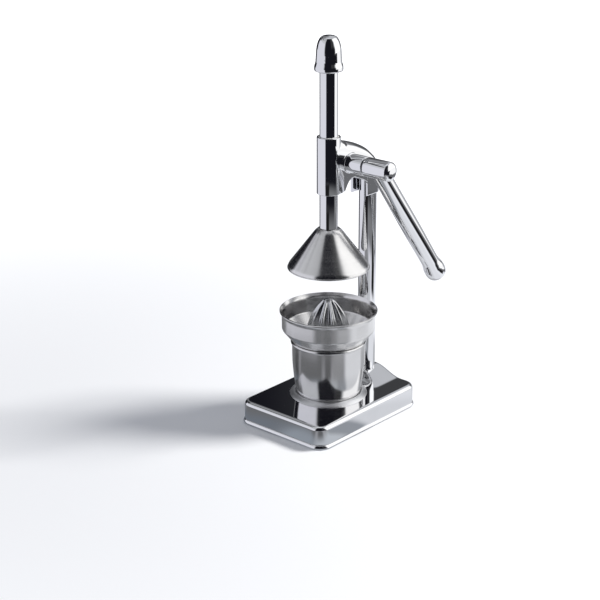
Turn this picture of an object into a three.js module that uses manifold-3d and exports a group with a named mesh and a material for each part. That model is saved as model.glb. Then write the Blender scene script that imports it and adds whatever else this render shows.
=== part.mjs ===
// Lever citrus juice press, in millimetres, +Z up.
// The origin is on the table, under the plunger's axis. The lever's hub is on the +X side, the column stands
// behind the cup at +Y, and the front of the base is at -Y. The plunger is raised, and the lever hangs
// behind it.
import * as THREE from 'three';
import { mergeVertices } from 'three/addons/utils/BufferGeometryUtils.js';
import Module from 'manifold-3d';

const wasm = await Module();
wasm.setup();

// Clearances
const SEAT_GAP = 0.3;
const RUN_GAP = 0.3;
const CUT_OVERRUN = 2;

// Facets round a full turn
const FINE_TURN = 32;
const PLAIN_TURN = 20;
const SMALL_TURN = 10;
const BEAD_SIDES = 6;
const CORNER_STEPS = 3;
const ARM_EDGE_STEPS = 5;
const RIB_STEPS = 4;
const BASE_SIDE_STEPS = [12, 6, 2, 6];

// Base pan: a pressed shell with a rounded top edge, a rolled lip and a mound that carries the column
const BASE_TOP_Z = 24;
const BASE_HALF_WIDTH = 54.8;
const BASE_FRONT = 74.6;
const BASE_BACK = 78.2;
const BASE_CORNER_RADIUS = 13;
const BASE_EDGE_RADIUS = 3;
const BASE_SHEET = 1.5;
const LIP_CLEARANCE = 1.3;
const LIP_FLARE = 1.6;
const LIP_RISE = 3.1;
const MOUND_HEIGHT = 9.5;
const MOUND_HALF_WIDTH = 34;
const MOUND_RAMP_LENGTH = 34;
const MOUND_BLEND_WIDTH = 14;
const RING_WIDTH = 6;
const RING_HEIGHT = 2.8;
const RING_CLEARANCE = 3.2;
const LEAST_CORNER_SHARE = 0.2;
const baseTopInsetShares = [0.9, 0.71, 0.53, 0.37, 0.23, 0.12];
const baseEdgeShares = [0, 0.5, 1];
const lipShares = [[0, 1], [1, 0.5], [1, 0.1], [0.7, 0]];
const ringShares = [[0, 0], [0.15, 0.7], [0.4, 1], [0.6, 1], [0.85, 0.7], [1, 0]];

// Underside of the base
const MAT_THICKNESS = 4;
const MAT_INSET = 4.5;
const PLATE_THICKNESS = 2;
const POST_RADIUS = 4;
const POST_CORNER_INSET = 15;
const SCREW_RADIUS = 2;
const SCREW_HEAD_RADIUS = 3.6;
const SCREW_HEAD_HEIGHT = 2;
const SCREW_LENGTH = 12;
const HEAD_POCKET_GAP = 1;

// Column and its fixing
const COLUMN_RADIUS = 9;
const COLUMN_WALL = 1.5;
const COLUMN_CUP_GAP = 2.2;
const PLUG_LENGTH = 20;
const BOLT_RADIUS = 3;
const BOLT_HEAD_RADIUS = 5;
const BOLT_HEAD_HEIGHT = 2;
const BOLT_REACH = 16;
const WASHER_RADIUS = 7;
const WASHER_THICKNESS = 0.8;

// Cup
const CUP_HEIGHT = 58.7;
const CUP_BASE_RADIUS = 31.2;
const CUP_FLARE = 5.7;
const CUP_WALL = 1;
const CUP_BEAD_RADIUS = 1.6;
const cupSideShares = [[-0.14, 0], [0.15, 0.03], [0.42, 0.131], [0.72, 0.34], [0.95, 0.62], [1, 1]];

// Strainer
const STRAINER_RIM_RADIUS = 49.3;
const STRAINER_HEIGHT = 30.5;
const STRAINER_SHEET = 1;
const STRAINER_SPIGOT_DEPTH = 4.9;
const STRAINER_SPIGOT_FIT = 0.5;
const STRAINER_LIP_RADIUS = 0.7;
const strainerWallShares = [[0.795, 0], [0.945, 0.37], [0.954, 0.405], [0.957, 0.885], [1, 1]];
const JUICE_HOLE_COUNT = 24;
const JUICE_HOLE_RADIUS = 1.6;

// Reamer
const REAMER_RADIUS = 26.5;
const REAMER_HEIGHT = 46.5;
const REAMER_RIB_COUNT = 10;
const REAMER_HOLLOW_HEIGHT = 22;
const REAMER_BOSS_RADIUS = 7;
const REAMER_SCREW_REACH = 12;
const reamerShapeShares = [[1, 0, 0], [1, 0.07, 0], [0.9, 0.09, 0.07], [0.84, 0.3, 0.11],
  [0.7, 0.55, 0.13], [0.5, 0.76, 0.14], [0.28, 0.92, 0.12], [0.1, 1, 0]];
const reamerHollowShares = [0.78, 0.5];

// Press bell
const FRUIT_GAP = 45.6;
const BELL_HEIGHT = 41.6;
const BELL_RIM_RADIUS = 41.1;
const BELL_SHEET = 1.2;
const bellOutlineShares = [[1, 0], [1, 0.016], [0.971, 0.09], [0.922, 0.155], [0.331, 0.93], [0.25, 1]];

// Plunger
const ROD_RADIUS = 9;
const BELL_PARK_GAP = 35.4;
const CAP_REST_GAP = 64.3;
const CAP_HEIGHT = 34.6;
const CAP_FLANGE_RADIUS = 14.15;
const CAP_TOP_WALL = 9;
const capOutlineShares = [[1, 0], [1, 0.2], [0.92, 0.24], [0.9, 0.33], [0.835, 0.64], [0.76, 0.83],
  [0.62, 0.935], [0.4, 0.985], [0, 1]];
const CAP_SCREW_RADIUS = 2;
const BELL_SCREW_RADIUS = 3;
const BELL_SCREW_HEAD_RADIUS = 5.2;
const BELL_SCREW_HEAD_HEIGHT = 3;
const BELL_SCREW_REACH = 15;
const BELL_WASHER_RADIUS = 8;
const BELL_WASHER_THICKNESS = 1.2;

// Rack and pinion
const TOOTH_MODULE = 1.5;
const PINION_TEETH = 16;
const PRESSURE_ANGLE = THREE.MathUtils.degToRad(20);
const PINION_WIDTH = 7;
const FLANK_GAP = 0.3;
const PITCH_LINE_Y = 7;
const PLUNGER_STROKE = 56;
const RACK_BASE_THICKNESS = 1.8;
const RACK_WIDTH = 7.6;
const RIVET_RADIUS = 1.2;
const RIVET_END_DISTANCE = 2.9;
const RIVET_DEPTH = 4;
const RACK_PHASE_SHARE = 0.5;
const rackToothShares = { tip: 0.8, root: 1.25 };
const pinionToothShares = { tip: 1, root: 1.25 };
const pinionFlankShares = [0, 0.4, 1];

// Head casting
const SLEEVE_RADIUS = 11.8;
const SLEEVE_LENGTH = 57.2;
const SLEEVE_EDGE = 1.2;
const SLEEVE_TOP_EDGE = 0.6;
const SLEEVE_EDGE_MIDDLE_SHARE = 0.3;
const HEAD_BORE_WALL = 2;
const BUSH_LENGTH = 12;
const BUSH_WALL = 1;
const HUB_RISE = 28.8;
const ARM_HALF_WIDTH = 11;
const ARM_EDGE_RADIUS = 9;
const ARM_ROUNDING_SHARE = 0.9;
const ARM_TIP_SHARE = 0.045;
const ARM_TOP_DROP = 22;
const SKIRT_DROP = 12;
const SKIRT_DEPTH = 14.1;
const ARCH_RISE = 12;
const CHAMBER_GAP = 1.1;
const CHAMBER_SIDE_GAP = 1.7;
const SOCKET_ROOF = 24.5;
const SOCKET_MOUTH_DEPTH = 7.05;
const SOCKET_MOUTH_RISE = 6;
const BOSS_REACH = 20.9;
const BOSS_EDGE = 0.8;
const SET_SCREW_RADIUS = 2.5;
const SET_SCREW_SPACING = 14;
const crownShares = [[0, 0.24], [0.2, 0.286], [0.33, 0.36], [0.56, 0.565], [0.81, 0.904], [0.94, 1.186]];
const crownEndShares = [[0.05, 1.42], [0.23, 1.6], [0.41, 1.81], [0.59, 2.06], [0.75, 2.3], [0.88, 2.52],
  [1, 2.8]];
const archShares = [[0.26, 0.09], [0.31, 0.42], [0.37, 0.72], [0.44, 0.93], [0.51, 1], [0.6, 0.97],
  [0.77, 0.7], [0.91, 0.45], [0.98, 0.24], [1, 0]];

// Shaft, hub and lever
const SHAFT_RADIUS = 4;
const SHAFT_BUSH_WALL = 1.7;
const SHAFT_FAR_OVERHANG = 2.4;
const RETAINER_WIDTH = 0.9;
const RETAINER_RADIUS = 6.6;
const RETAINER_GROOVE_DEPTH = 0.8;
const KEY_WIDTH = 2.4;
const KEY_DEPTH = 1.2;
const THRUST_RADIUS = 8.4;
const THRUST_THICKNESS = 1;
const HUB_RADIUS = 9.7;
const HUB_LENGTH = 31;
const HUB_DOME = 5;
const hubDomeShares = [[0.95, 0.4], [0.8, 0.72], [0.52, 0.93], [0.22, 1]];
const HUB_BORE_DEPTH = 6.8;
const LEVER_OFFSET = 12.8;
const LEVER_LENGTH = 169.5;
const LEVER_END_RADIUS = 11.1;
const LEVER_SPIGOT_RADIUS = 4.5;
const LEVER_SPIGOT_END_SHARE = 0.07;
const LEVER_REST_ANGLE = THREE.MathUtils.degToRad(36.5);
const GRUB_RADIUS = 2;
const GRUB_OFFSET = 3.6;
const leverOutlineShares = [[0.775, 0.03], [0.85, 0.56], [0.83, 0.845], [0.89, 0.88], [0.97, 0.91],
  [1, 0.944], [0.92, 0.973], [0.7, 0.991], [0.3, 1], [0, 1]];

// Places that follow from the sizes above
const plateBottomZ = MAT_THICKNESS + SEAT_GAP;
const plateTopZ = plateBottomZ + PLATE_THICKNESS;
const columnY = STRAINER_RIM_RADIUS + COLUMN_CUP_GAP + COLUMN_RADIUS;
const columnBottomZ = plateTopZ + SEAT_GAP;
const cupZ = BASE_TOP_Z + SEAT_GAP;
const cupMouthRadius = CUP_BASE_RADIUS + CUP_FLARE - CUP_WALL;
const strainerZ = cupZ + CUP_HEIGHT + SEAT_GAP;
const bellRimZ = strainerZ + STRAINER_HEIGHT + FRUIT_GAP;
const bellTopZ = bellRimZ + BELL_HEIGHT;
const rodBottomZ = bellTopZ + SEAT_GAP;
const sleeveBottomZ = bellTopZ + BELL_PARK_GAP;
const sleeveTopZ = sleeveBottomZ + SLEEVE_LENGTH;
const capBottomZ = sleeveTopZ + CAP_REST_GAP;
const hubZ = sleeveBottomZ + HUB_RISE;
const pinionPitchRadius = TOOTH_MODULE * PINION_TEETH / 2;
const pinionTipRadius = pinionPitchRadius + TOOTH_MODULE * pinionToothShares.tip;
const hubY = PITCH_LINE_Y + pinionPitchRadius;
const toothPitch = Math.PI * TOOTH_MODULE;
const slotHalfReach = Math.sqrt(pinionTipRadius ** 2 - (hubY - ROD_RADIUS) ** 2) + SEAT_GAP;
const slotBottomZ = hubZ - slotHalfReach;
const slotTopZ = hubZ + PLUNGER_STROKE + slotHalfReach;
const rackRootY = PITCH_LINE_Y - TOOTH_MODULE * rackToothShares.root;
const rackBackY = rackRootY - RACK_BASE_THICKNESS;
const socketTopZ = sleeveTopZ - ARM_TOP_DROP * crownShares.at(-1)[1] - SOCKET_ROOF;
const skirtBottomZ = sleeveBottomZ - SKIRT_DROP;
const skirtFrontY = columnY - SKIRT_DEPTH;
const bossEndX = ARM_HALF_WIDTH + BOSS_REACH;
const hubStartX = bossEndX + SEAT_GAP + THRUST_THICKNESS + SEAT_GAP;
const leverX = hubStartX + LEVER_OFFSET;
const shaftEndX = hubStartX + HUB_BORE_DEPTH - SEAT_GAP;
const chamberHalfWidth = PINION_WIDTH / 2 + CHAMBER_SIDE_GAP;
const bushBoreRadius = SHAFT_RADIUS + RUN_GAP;
const bushOuterRadius = bushBoreRadius + SHAFT_BUSH_WALL;

// Closed body of a three.js geometry, with shared corners and without empty triangles
function solidOf(geometry) {
  const bare = geometry.clone();
  bare.deleteAttribute('normal');
  bare.deleteAttribute('uv');
  const welded = mergeVertices(bare);
  const corners = welded.index.array;
  const triangles = [];
  for (let i = 0; i < corners.length; i += 3) {
    const [a, b, c] = [corners[i], corners[i + 1], corners[i + 2]];
    if (a !== b && b !== c && c !== a) triangles.push(a, b, c);
  }
  return new wasm.Manifold(new wasm.Mesh({
    numProp: 3,
    vertProperties: Float32Array.from(welded.attributes.position.array),
    triVerts: Uint32Array.from(triangles),
  }));
}

function geometryOf(solid) {
  const mesh = solid.getMesh();
  const geometry = new THREE.BufferGeometry();
  const corners = Float32Array.from(mesh.vertProperties);
  geometry.setAttribute('position', new THREE.BufferAttribute(corners, 3));
  geometry.setIndex(new THREE.BufferAttribute(Uint32Array.from(mesh.triVerts), 1));
  geometry.computeVertexNormals();
  return geometry;
}

// Solid turned about Z from a closed outline of [radius, height] points, given in either direction
function turned(outline, facets = FINE_TURN) {
  const points = outline.map(([radius, height]) => new THREE.Vector2(radius, height));
  if (THREE.ShapeUtils.area(points) < 0) points.reverse();
  const geometry = new THREE.LatheGeometry([...points, points[0]], facets);
  return solidOf(geometry.rotateX(Math.PI / 2));
}

function cylinderZ(radius, bottom, top, facets = PLAIN_TURN) {
  return turned([[0, bottom], [radius, bottom], [radius, top], [0, top]], facets);
}

function pipeZ(inner, outer, bottom, top, facets = PLAIN_TURN) {
  return turned([[inner, bottom], [outer, bottom], [outer, top], [inner, top]], facets);
}

// Turns a solid so that its Z axis becomes +X, or +Y
function alongX(solid) {
  return solid.rotate([0, 90, 0]);
}

function alongY(solid) {
  return solid.rotate([-90, 0, 0]);
}

// Prism of [x, y] points from one height to another
function prismZ(outline, bottom, top) {
  const shape = new THREE.Shape(outline.map(([x, y]) => new THREE.Vector2(x, y)));
  const geometry = new THREE.ExtrudeGeometry(shape, { depth: top - bottom, bevelEnabled: false });
  return solidOf(geometry.translate(0, 0, bottom));
}

// Prism of [y, z] points from one x to another
function prismX(outline, left, right) {
  return alongX(prismZ(outline.map(([y, z]) => [-z, y]), left, right));
}

function box(from, to) {
  const outline = [[from[0], from[1]], [to[0], from[1]], [to[0], to[1]], [from[0], to[1]]];
  return prismZ(outline, from[2], to[2]);
}

// Closed body through rings of equally many points, with a fan at each end
function lofted(rings) {
  const centres = [rings[0], rings.at(-1)].map((ring) => {
    const centre = new THREE.Vector3();
    ring.forEach((point) => centre.add(point));
    return centre.divideScalar(ring.length);
  });
  const count = rings[0].length;
  const positions = [...rings.flat(), ...centres].flatMap((point) => point.toArray());
  const first = rings.length * count;
  const triangles = [];
  for (let j = 0; j < count; j += 1) {
    const k = (j + 1) % count;
    triangles.push(first, k, j);
    triangles.push(first + 1, first - count + j, first - count + k);
    for (let i = 0; i < rings.length - 1; i += 1) {
      const [low, high] = [i * count, (i + 1) * count];
      triangles.push(low + j, low + k, high + k);
      triangles.push(low + j, high + k, high + j);
    }
  }
  const geometry = new THREE.BufferGeometry();
  geometry.setAttribute('position', new THREE.Float32BufferAttribute(positions, 3));
  geometry.setIndex(triangles);
  const solid = solidOf(geometry);
  if (solid.volume() > 0) return solid;
  geometry.setIndex(triangles.toReversed());
  return solidOf(geometry);
}

// Outline of a sheet: the outer line, and its copy one sheet thickness to the left of its direction
function sheetOutline(outer, thickness) {
  const line = outer.map(([radius, height]) => new THREE.Vector2(radius, height));
  const leftOf = (a, b) => new THREE.Vector2(a.y - b.y, b.x - a.x).normalize();
  const inner = line.map((point, i) => {
    const before = leftOf(line[Math.max(i - 1, 0)], line[Math.max(i, 1)]);
    const last = line.length - 1;
    const after = leftOf(line[Math.min(i, last - 1)], line[Math.min(i + 1, last)]);
    const middle = before.clone().add(after).normalize();
    return point.clone().addScaledVector(middle, thickness / middle.dot(before));
  });
  return [...line, ...inner.reverse()].map((point) => [Math.max(point.x, 0), point.y]);
}

// Round bead as a closed ring about Z
function bead(radius, height, thickness) {
  const outline = [];
  for (let i = 0; i < BEAD_SIDES; i += 1) {
    const angle = 2 * Math.PI * i / BEAD_SIDES;
    outline.push([radius + thickness * Math.cos(angle), height + thickness * Math.sin(angle)]);
  }
  return turned(outline);
}

function joined(solids) {
  return solids.reduce((sum, solid) => sum.add(solid));
}

function smoothStep(from, to, value) {
  return THREE.MathUtils.smoothstep(value, from, to);
}

// Base pan
function padOutline(inset, sideSteps = [1, 1, 1, 1]) {
  const corner = Math.max(BASE_CORNER_RADIUS - inset, BASE_CORNER_RADIUS * LEAST_CORNER_SHARE);
  const [halfWidth, front, back] = [BASE_HALF_WIDTH - inset, BASE_FRONT - inset, BASE_BACK - inset];
  const centres = [[1, back - corner], [-1, back - corner], [-1, corner - front], [1, corner - front]];
  const arcs = centres.map(([side, y], quarter) => {
    const points = [];
    for (let i = 0; i <= CORNER_STEPS; i += 1) {
      const angle = Math.PI / 2 * (quarter + i / CORNER_STEPS);
      points.push([side * (halfWidth - corner) + corner * Math.cos(angle), y + corner * Math.sin(angle)]);
    }
    return points;
  });
  return arcs.flatMap((arc, quarter) => {
    const [start, end] = [arc.at(-1), arcs[(quarter + 1) % 4][0]];
    const points = [...arc];
    for (let i = 1; i < sideSteps[quarter]; i += 1) {
      const share = i / sideSteps[quarter];
      points.push([start[0] + (end[0] - start[0]) * share, start[1] + (end[1] - start[1]) * share]);
    }
    return points;
  });
}

function ringOuterRadius() {
  return CUP_BASE_RADIUS + RING_CLEARANCE + RING_WIDTH;
}

function moundHeight(x, y) {
  const across = Math.cos(Math.PI / 2 * Math.min(Math.abs(x) / MOUND_HALF_WIDTH, 1)) ** 2;
  const mountY = columnY - COLUMN_RADIUS;
  const along = smoothStep(mountY - MOUND_RAMP_LENGTH, mountY, y);
  const beside = smoothStep(ringOuterRadius(), ringOuterRadius() + MOUND_BLEND_WIDTH, Math.hypot(x, y));
  return MOUND_HEIGHT * across * along * beside;
}

function panRing(inset, drop) {
  const topZ = BASE_TOP_Z - drop;
  return padOutline(inset, BASE_SIDE_STEPS).map(([x, y]) => new THREE.Vector3(x, y, topZ + moundHeight(x, y)));
}

function panLevel(inset, z) {
  return padOutline(inset, BASE_SIDE_STEPS).map(([x, y]) => new THREE.Vector3(x, y, z));
}

function panShell() {
  const edgeAngles = baseEdgeShares.map((share) => Math.PI / 2 * share);
  const topInsets = baseTopInsetShares.map((share) => share * BASE_HALF_WIDTH);
  const rounding = (radius, start) => edgeAngles.map((angle) => [
    start + radius * (1 - Math.sin(angle)), start + radius * (1 - Math.cos(angle))]);
  const outer = [
    ...topInsets.map((inset) => panRing(inset, 0)),
    ...rounding(BASE_EDGE_RADIUS, 0).map(([inset, drop]) => panRing(inset, drop)),
    ...lipShares.map(([flare, rise]) => panLevel(-LIP_FLARE * flare, LIP_CLEARANCE + LIP_RISE * rise)),
  ];
  const inner = [
    panLevel(BASE_SHEET, LIP_CLEARANCE),
    ...rounding(BASE_EDGE_RADIUS - BASE_SHEET, BASE_SHEET).toReversed()
      .map(([inset, drop]) => panRing(inset, drop)),
    ...topInsets.toReversed().map((inset) => panRing(inset, BASE_SHEET)),
  ];
  return lofted([...outer, ...inner]);
}

function postPlaces() {
  const x = BASE_HALF_WIDTH - POST_CORNER_INSET;
  return [[x, BASE_BACK - POST_CORNER_INSET], [-x, BASE_BACK - POST_CORNER_INSET],
    [-x, POST_CORNER_INSET - BASE_FRONT], [x, POST_CORNER_INSET - BASE_FRONT]];
}

function basePan() {
  const innerRadius = CUP_BASE_RADIUS + RING_CLEARANCE;
  const embed = BASE_SHEET / 2;
  const bottomZ = BASE_TOP_Z - embed;
  const beadLine = ringShares.map(([out, up]) => [innerRadius + RING_WIDTH * out, BASE_TOP_Z + RING_HEIGHT * up]);
  const ring = turned([[innerRadius, bottomZ], ...beadLine, [ringOuterRadius(), bottomZ]]);
  const postTopZ = BASE_TOP_Z - embed;
  const post = pipeZ(SCREW_RADIUS + SEAT_GAP, POST_RADIUS, columnBottomZ, postTopZ, SMALL_TURN);
  const posts = postPlaces().map(([x, y]) => post.translate([x, y, 0]));
  const moundTopZ = BASE_TOP_Z + MOUND_HEIGHT;
  const columnHole = cylinderZ(COLUMN_RADIUS + SEAT_GAP, BASE_TOP_Z, moundTopZ + CUT_OVERRUN);
  return joined([panShell(), ring, ...posts]).subtract(columnHole.translate([0, columnY, 0]));
}

function bottomPlate() {
  const plate = prismZ(padOutline(BASE_SHEET + SEAT_GAP), plateBottomZ, plateTopZ);
  const screwHole = cylinderZ(SCREW_RADIUS + SEAT_GAP, 0, plateTopZ + CUT_OVERRUN, SMALL_TURN);
  const boltHole = cylinderZ(BOLT_RADIUS + SEAT_GAP, 0, plateTopZ + CUT_OVERRUN);
  const holes = postPlaces().map(([x, y]) => screwHole.translate([x, y, 0]));
  return plate.subtract(joined([boltHole.translate([0, columnY, 0]), ...holes]));
}

function nonSlipMat() {
  const mat = prismZ(padOutline(MAT_INSET), 0, MAT_THICKNESS);
  const [low, high] = [-CUT_OVERRUN, MAT_THICKNESS + CUT_OVERRUN];
  const pocket = cylinderZ(SCREW_HEAD_RADIUS + HEAD_POCKET_GAP, low, high, SMALL_TURN);
  const boltPocket = cylinderZ(WASHER_RADIUS + HEAD_POCKET_GAP, low, high);
  const pockets = postPlaces().map(([x, y]) => pocket.translate([x, y, 0]));
  return mat.subtract(joined([boltPocket.translate([0, columnY, 0]), ...pockets]));
}

// Screw with its head at the bottom, its underside of the head facing up at the given height
function upwardScrew(shank, head, headHeight, seatZ, reach, facets = SMALL_TURN) {
  return turned([[0, seatZ - headHeight], [head, seatZ - headHeight], [head, seatZ], [shank, seatZ],
    [shank, seatZ + reach], [0, seatZ + reach]], facets);
}

function plateScrews() {
  const screw = upwardScrew(SCREW_RADIUS, SCREW_HEAD_RADIUS, SCREW_HEAD_HEIGHT, MAT_THICKNESS, SCREW_LENGTH);
  return postPlaces().map(([x, y]) => screw.translate([x, y, 0]));
}

// Column with its plug, washer and bolt, all about the column's own axis
function columnTube() {
  return pipeZ(COLUMN_RADIUS - COLUMN_WALL, COLUMN_RADIUS, columnBottomZ, socketTopZ - SEAT_GAP, FINE_TURN);
}

function columnPlug() {
  const radius = COLUMN_RADIUS - COLUMN_WALL - SEAT_GAP;
  return pipeZ(BOLT_RADIUS + SEAT_GAP, radius, columnBottomZ, columnBottomZ + PLUG_LENGTH);
}

function columnWasher() {
  return pipeZ(BOLT_RADIUS + SEAT_GAP, WASHER_RADIUS, MAT_THICKNESS - WASHER_THICKNESS, MAT_THICKNESS);
}

function columnBolt() {
  const seatZ = MAT_THICKNESS - WASHER_THICKNESS - SEAT_GAP;
  const reach = BOLT_REACH + PLATE_THICKNESS + WASHER_THICKNESS;
  return upwardScrew(BOLT_RADIUS, BOLT_HEAD_RADIUS, BOLT_HEAD_HEIGHT, seatZ, reach, PLAIN_TURN);
}

// Head casting: the arm is a hood from the sleeve to the column, cut by the arch below it
function armSection(y, halfWidth, topZ) {
  const radius = Math.min(ARM_EDGE_RADIUS, halfWidth * ARM_ROUNDING_SHARE);
  const rightSide = [[halfWidth, skirtBottomZ]];
  for (let i = 0; i <= ARM_EDGE_STEPS; i += 1) {
    const angle = Math.PI / 2 * i / ARM_EDGE_STEPS;
    rightSide.push([halfWidth - radius + radius * Math.cos(angle), topZ - radius + radius * Math.sin(angle)]);
  }
  const leftSide = rightSide.map(([x, z]) => [-x, z]);
  return [...leftSide, ...rightSide.toReversed()].map(([x, z]) => new THREE.Vector3(x, y, z));
}

function armHood() {
  const frontWidth = SLEEVE_RADIUS - SEAT_GAP;
  const straight = crownShares.map(([share, drop]) => {
    const halfWidth = THREE.MathUtils.lerp(frontWidth, ARM_HALF_WIDTH, share);
    return armSection(columnY * share, halfWidth, sleeveTopZ - ARM_TOP_DROP * drop);
  });
  const rounded = crownEndShares.map(([share, drop]) => {
    const halfWidth = ARM_HALF_WIDTH * Math.max(Math.sqrt(1 - share ** 2), ARM_TIP_SHARE);
    return armSection(columnY + ARM_HALF_WIDTH * share, halfWidth, sleeveTopZ - ARM_TOP_DROP * drop);
  });
  return lofted([...straight, ...rounded]);
}

function armArch() {
  const left = SLEEVE_RADIUS + CUT_OVERRUN;
  const low = skirtBottomZ - CUT_OVERRUN;
  const curve = archShares.map(([along, rise]) => [skirtFrontY * along, sleeveBottomZ + ARCH_RISE * rise]);
  const firstY = curve[0][0] - SEAT_GAP;
  const front = [[-left, low], [-left, sleeveBottomZ], [firstY, sleeveBottomZ]];
  return prismX([...front, ...curve, [skirtFrontY, low]], -left, left);
}

function sleeve() {
  const [outer, edge, middle] = [SLEEVE_RADIUS, SLEEVE_EDGE, SLEEVE_EDGE * SLEEVE_EDGE_MIDDLE_SHARE];
  return turned([[0, sleeveBottomZ], [outer - edge, sleeveBottomZ], [outer - middle, sleeveBottomZ + middle],
    [outer, sleeveBottomZ + edge], [outer, sleeveTopZ - SLEEVE_TOP_EDGE], [outer - SLEEVE_TOP_EDGE, sleeveTopZ],
    [0, sleeveTopZ]]);
}

function boss() {
  const outline = [[0, 0], [HUB_RADIUS, 0], [HUB_RADIUS, bossEndX - BOSS_EDGE],
    [HUB_RADIUS - BOSS_EDGE, bossEndX], [0, bossEndX]];
  return alongX(turned(outline)).translate([0, hubY, hubZ]);
}

function setScrewHeights() {
  const middle = (skirtBottomZ + socketTopZ) / 2;
  return [middle - SET_SCREW_SPACING / 2, middle + SET_SCREW_SPACING / 2];
}

function headHollows() {
  const boreRadius = SLEEVE_RADIUS - HEAD_BORE_WALL;
  const pocketRadius = ROD_RADIUS + RUN_GAP + BUSH_WALL + SEAT_GAP;
  const pocketDepth = BUSH_LENGTH + 2 * SEAT_GAP;
  const bottom = skirtBottomZ - CUT_OVERRUN;
  const chamberRadius = pinionTipRadius + CHAMBER_GAP;
  const socketRadius = COLUMN_RADIUS + SEAT_GAP;
  const chamberFrontY = SLEEVE_RADIUS + HEAD_BORE_WALL;
  const screwHole = alongY(cylinderZ(SET_SCREW_RADIUS + SEAT_GAP, 0, ARM_HALF_WIDTH + CUT_OVERRUN, SMALL_TURN));
  const mouthFront = [-socketRadius, skirtFrontY - SOCKET_MOUTH_DEPTH, bottom];
  const mouthBack = [socketRadius, columnY, sleeveBottomZ + SOCKET_MOUTH_RISE];
  return joined([
    cylinderZ(boreRadius, bottom, sleeveTopZ + CUT_OVERRUN, FINE_TURN),
    cylinderZ(pocketRadius, sleeveBottomZ - CUT_OVERRUN, sleeveBottomZ + pocketDepth, FINE_TURN),
    cylinderZ(pocketRadius, sleeveTopZ - pocketDepth, sleeveTopZ + CUT_OVERRUN, FINE_TURN),
    alongX(cylinderZ(chamberRadius, -chamberHalfWidth, chamberHalfWidth)).translate([0, hubY, hubZ]),
    box([-chamberHalfWidth, chamberFrontY, bottom], [chamberHalfWidth, hubY + chamberRadius, hubZ]),
    alongX(cylinderZ(bushOuterRadius + SEAT_GAP, -ARM_HALF_WIDTH - CUT_OVERRUN, bossEndX + CUT_OVERRUN))
      .translate([0, hubY, hubZ]),
    cylinderZ(socketRadius, bottom, socketTopZ, FINE_TURN).translate([0, columnY, 0]),
    box(mouthFront, mouthBack),
    ...setScrewHeights().map((z) => screwHole.translate([0, columnY, z])),
  ]);
}

function headCasting() {
  return joined([armHood().subtract(armArch()), sleeve(), boss()]).subtract(headHollows());
}

function headSetScrews() {
  const start = COLUMN_RADIUS + SEAT_GAP;
  const screw = alongY(cylinderZ(SET_SCREW_RADIUS, start, ARM_HALF_WIDTH + SEAT_GAP, SMALL_TURN));
  return setScrewHeights().map((z) => screw.translate([0, columnY, z]));
}

function guideBush(bottom) {
  const inner = ROD_RADIUS + RUN_GAP;
  return pipeZ(inner, inner + BUSH_WALL, bottom, bottom + BUSH_LENGTH, FINE_TURN);
}

function shaftBush(from, to) {
  return alongX(pipeZ(bushBoreRadius, bushOuterRadius, from, to));
}

function thrustWasher() {
  const start = bossEndX + SEAT_GAP;
  return alongX(pipeZ(bushBoreRadius, THRUST_RADIUS, start, start + THRUST_THICKNESS));
}

// Pinion with involute flanks, and its shaft and key, all about the hub's axis
function involute(radius) {
  const baseRadius = pinionPitchRadius * Math.cos(PRESSURE_ANGLE);
  const angle = Math.acos(Math.min(baseRadius / radius, 1));
  return Math.tan(angle) - angle;
}

function pinionOutline() {
  const rootRadius = pinionPitchRadius - TOOTH_MODULE * pinionToothShares.root;
  const baseRadius = pinionPitchRadius * Math.cos(PRESSURE_ANGLE);
  const flankRadii = pinionFlankShares.map((share) => THREE.MathUtils.lerp(baseRadius, pinionTipRadius, share));
  const pitchHalfAngle = (toothPitch / 2 - FLANK_GAP) / 2 / pinionPitchRadius;
  const baseHalfAngle = pitchHalfAngle + involute(pinionPitchRadius);
  const flank = [rootRadius, ...flankRadii].map((radius) => [radius, baseHalfAngle - involute(radius)]);
  const outline = [];
  for (let tooth = 0; tooth < PINION_TEETH; tooth += 1) {
    const middle = 2 * Math.PI * tooth / PINION_TEETH;
    const sides = [...flank.map(([radius, half]) => [radius, middle - half]),
      ...flank.toReversed().map(([radius, half]) => [radius, middle + half])];
    outline.push(...sides.map(([radius, angle]) => [radius * Math.cos(angle), radius * Math.sin(angle)]));
  }
  return outline;
}

function keyBox(gap) {
  const half = KEY_WIDTH / 2 + gap;
  const [low, high] = [SHAFT_RADIUS - KEY_DEPTH - gap, SHAFT_RADIUS + KEY_DEPTH + gap];
  const reach = PINION_WIDTH / 2 - SEAT_GAP + gap;
  return box([-reach, low, -half], [reach, high, half]);
}

function pinionGear() {
  const half = PINION_WIDTH / 2;
  const bore = alongX(cylinderZ(SHAFT_RADIUS + SEAT_GAP, -half - CUT_OVERRUN, half + CUT_OVERRUN));
  return prismX(pinionOutline(), -half, half).subtract(bore).subtract(keyBox(SEAT_GAP));
}

function pinionKey() {
  return keyBox(0);
}

function pinionShaft() {
  const farEnd = -ARM_HALF_WIDTH - SEAT_GAP - SHAFT_FAR_OVERHANG - SEAT_GAP;
  const grooveStart = -ARM_HALF_WIDTH - 2 * SEAT_GAP;
  const grooveEnd = grooveStart - RETAINER_WIDTH - 2 * SEAT_GAP;
  const grooveRadius = SHAFT_RADIUS - RETAINER_GROOVE_DEPTH;
  const outline = [[0, farEnd], [SHAFT_RADIUS, farEnd], [SHAFT_RADIUS, grooveEnd], [grooveRadius, grooveEnd],
    [grooveRadius, grooveStart], [SHAFT_RADIUS, grooveStart], [SHAFT_RADIUS, shaftEndX], [0, shaftEndX]];
  return alongX(turned(outline, PLAIN_TURN)).subtract(keyBox(SEAT_GAP));
}

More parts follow.
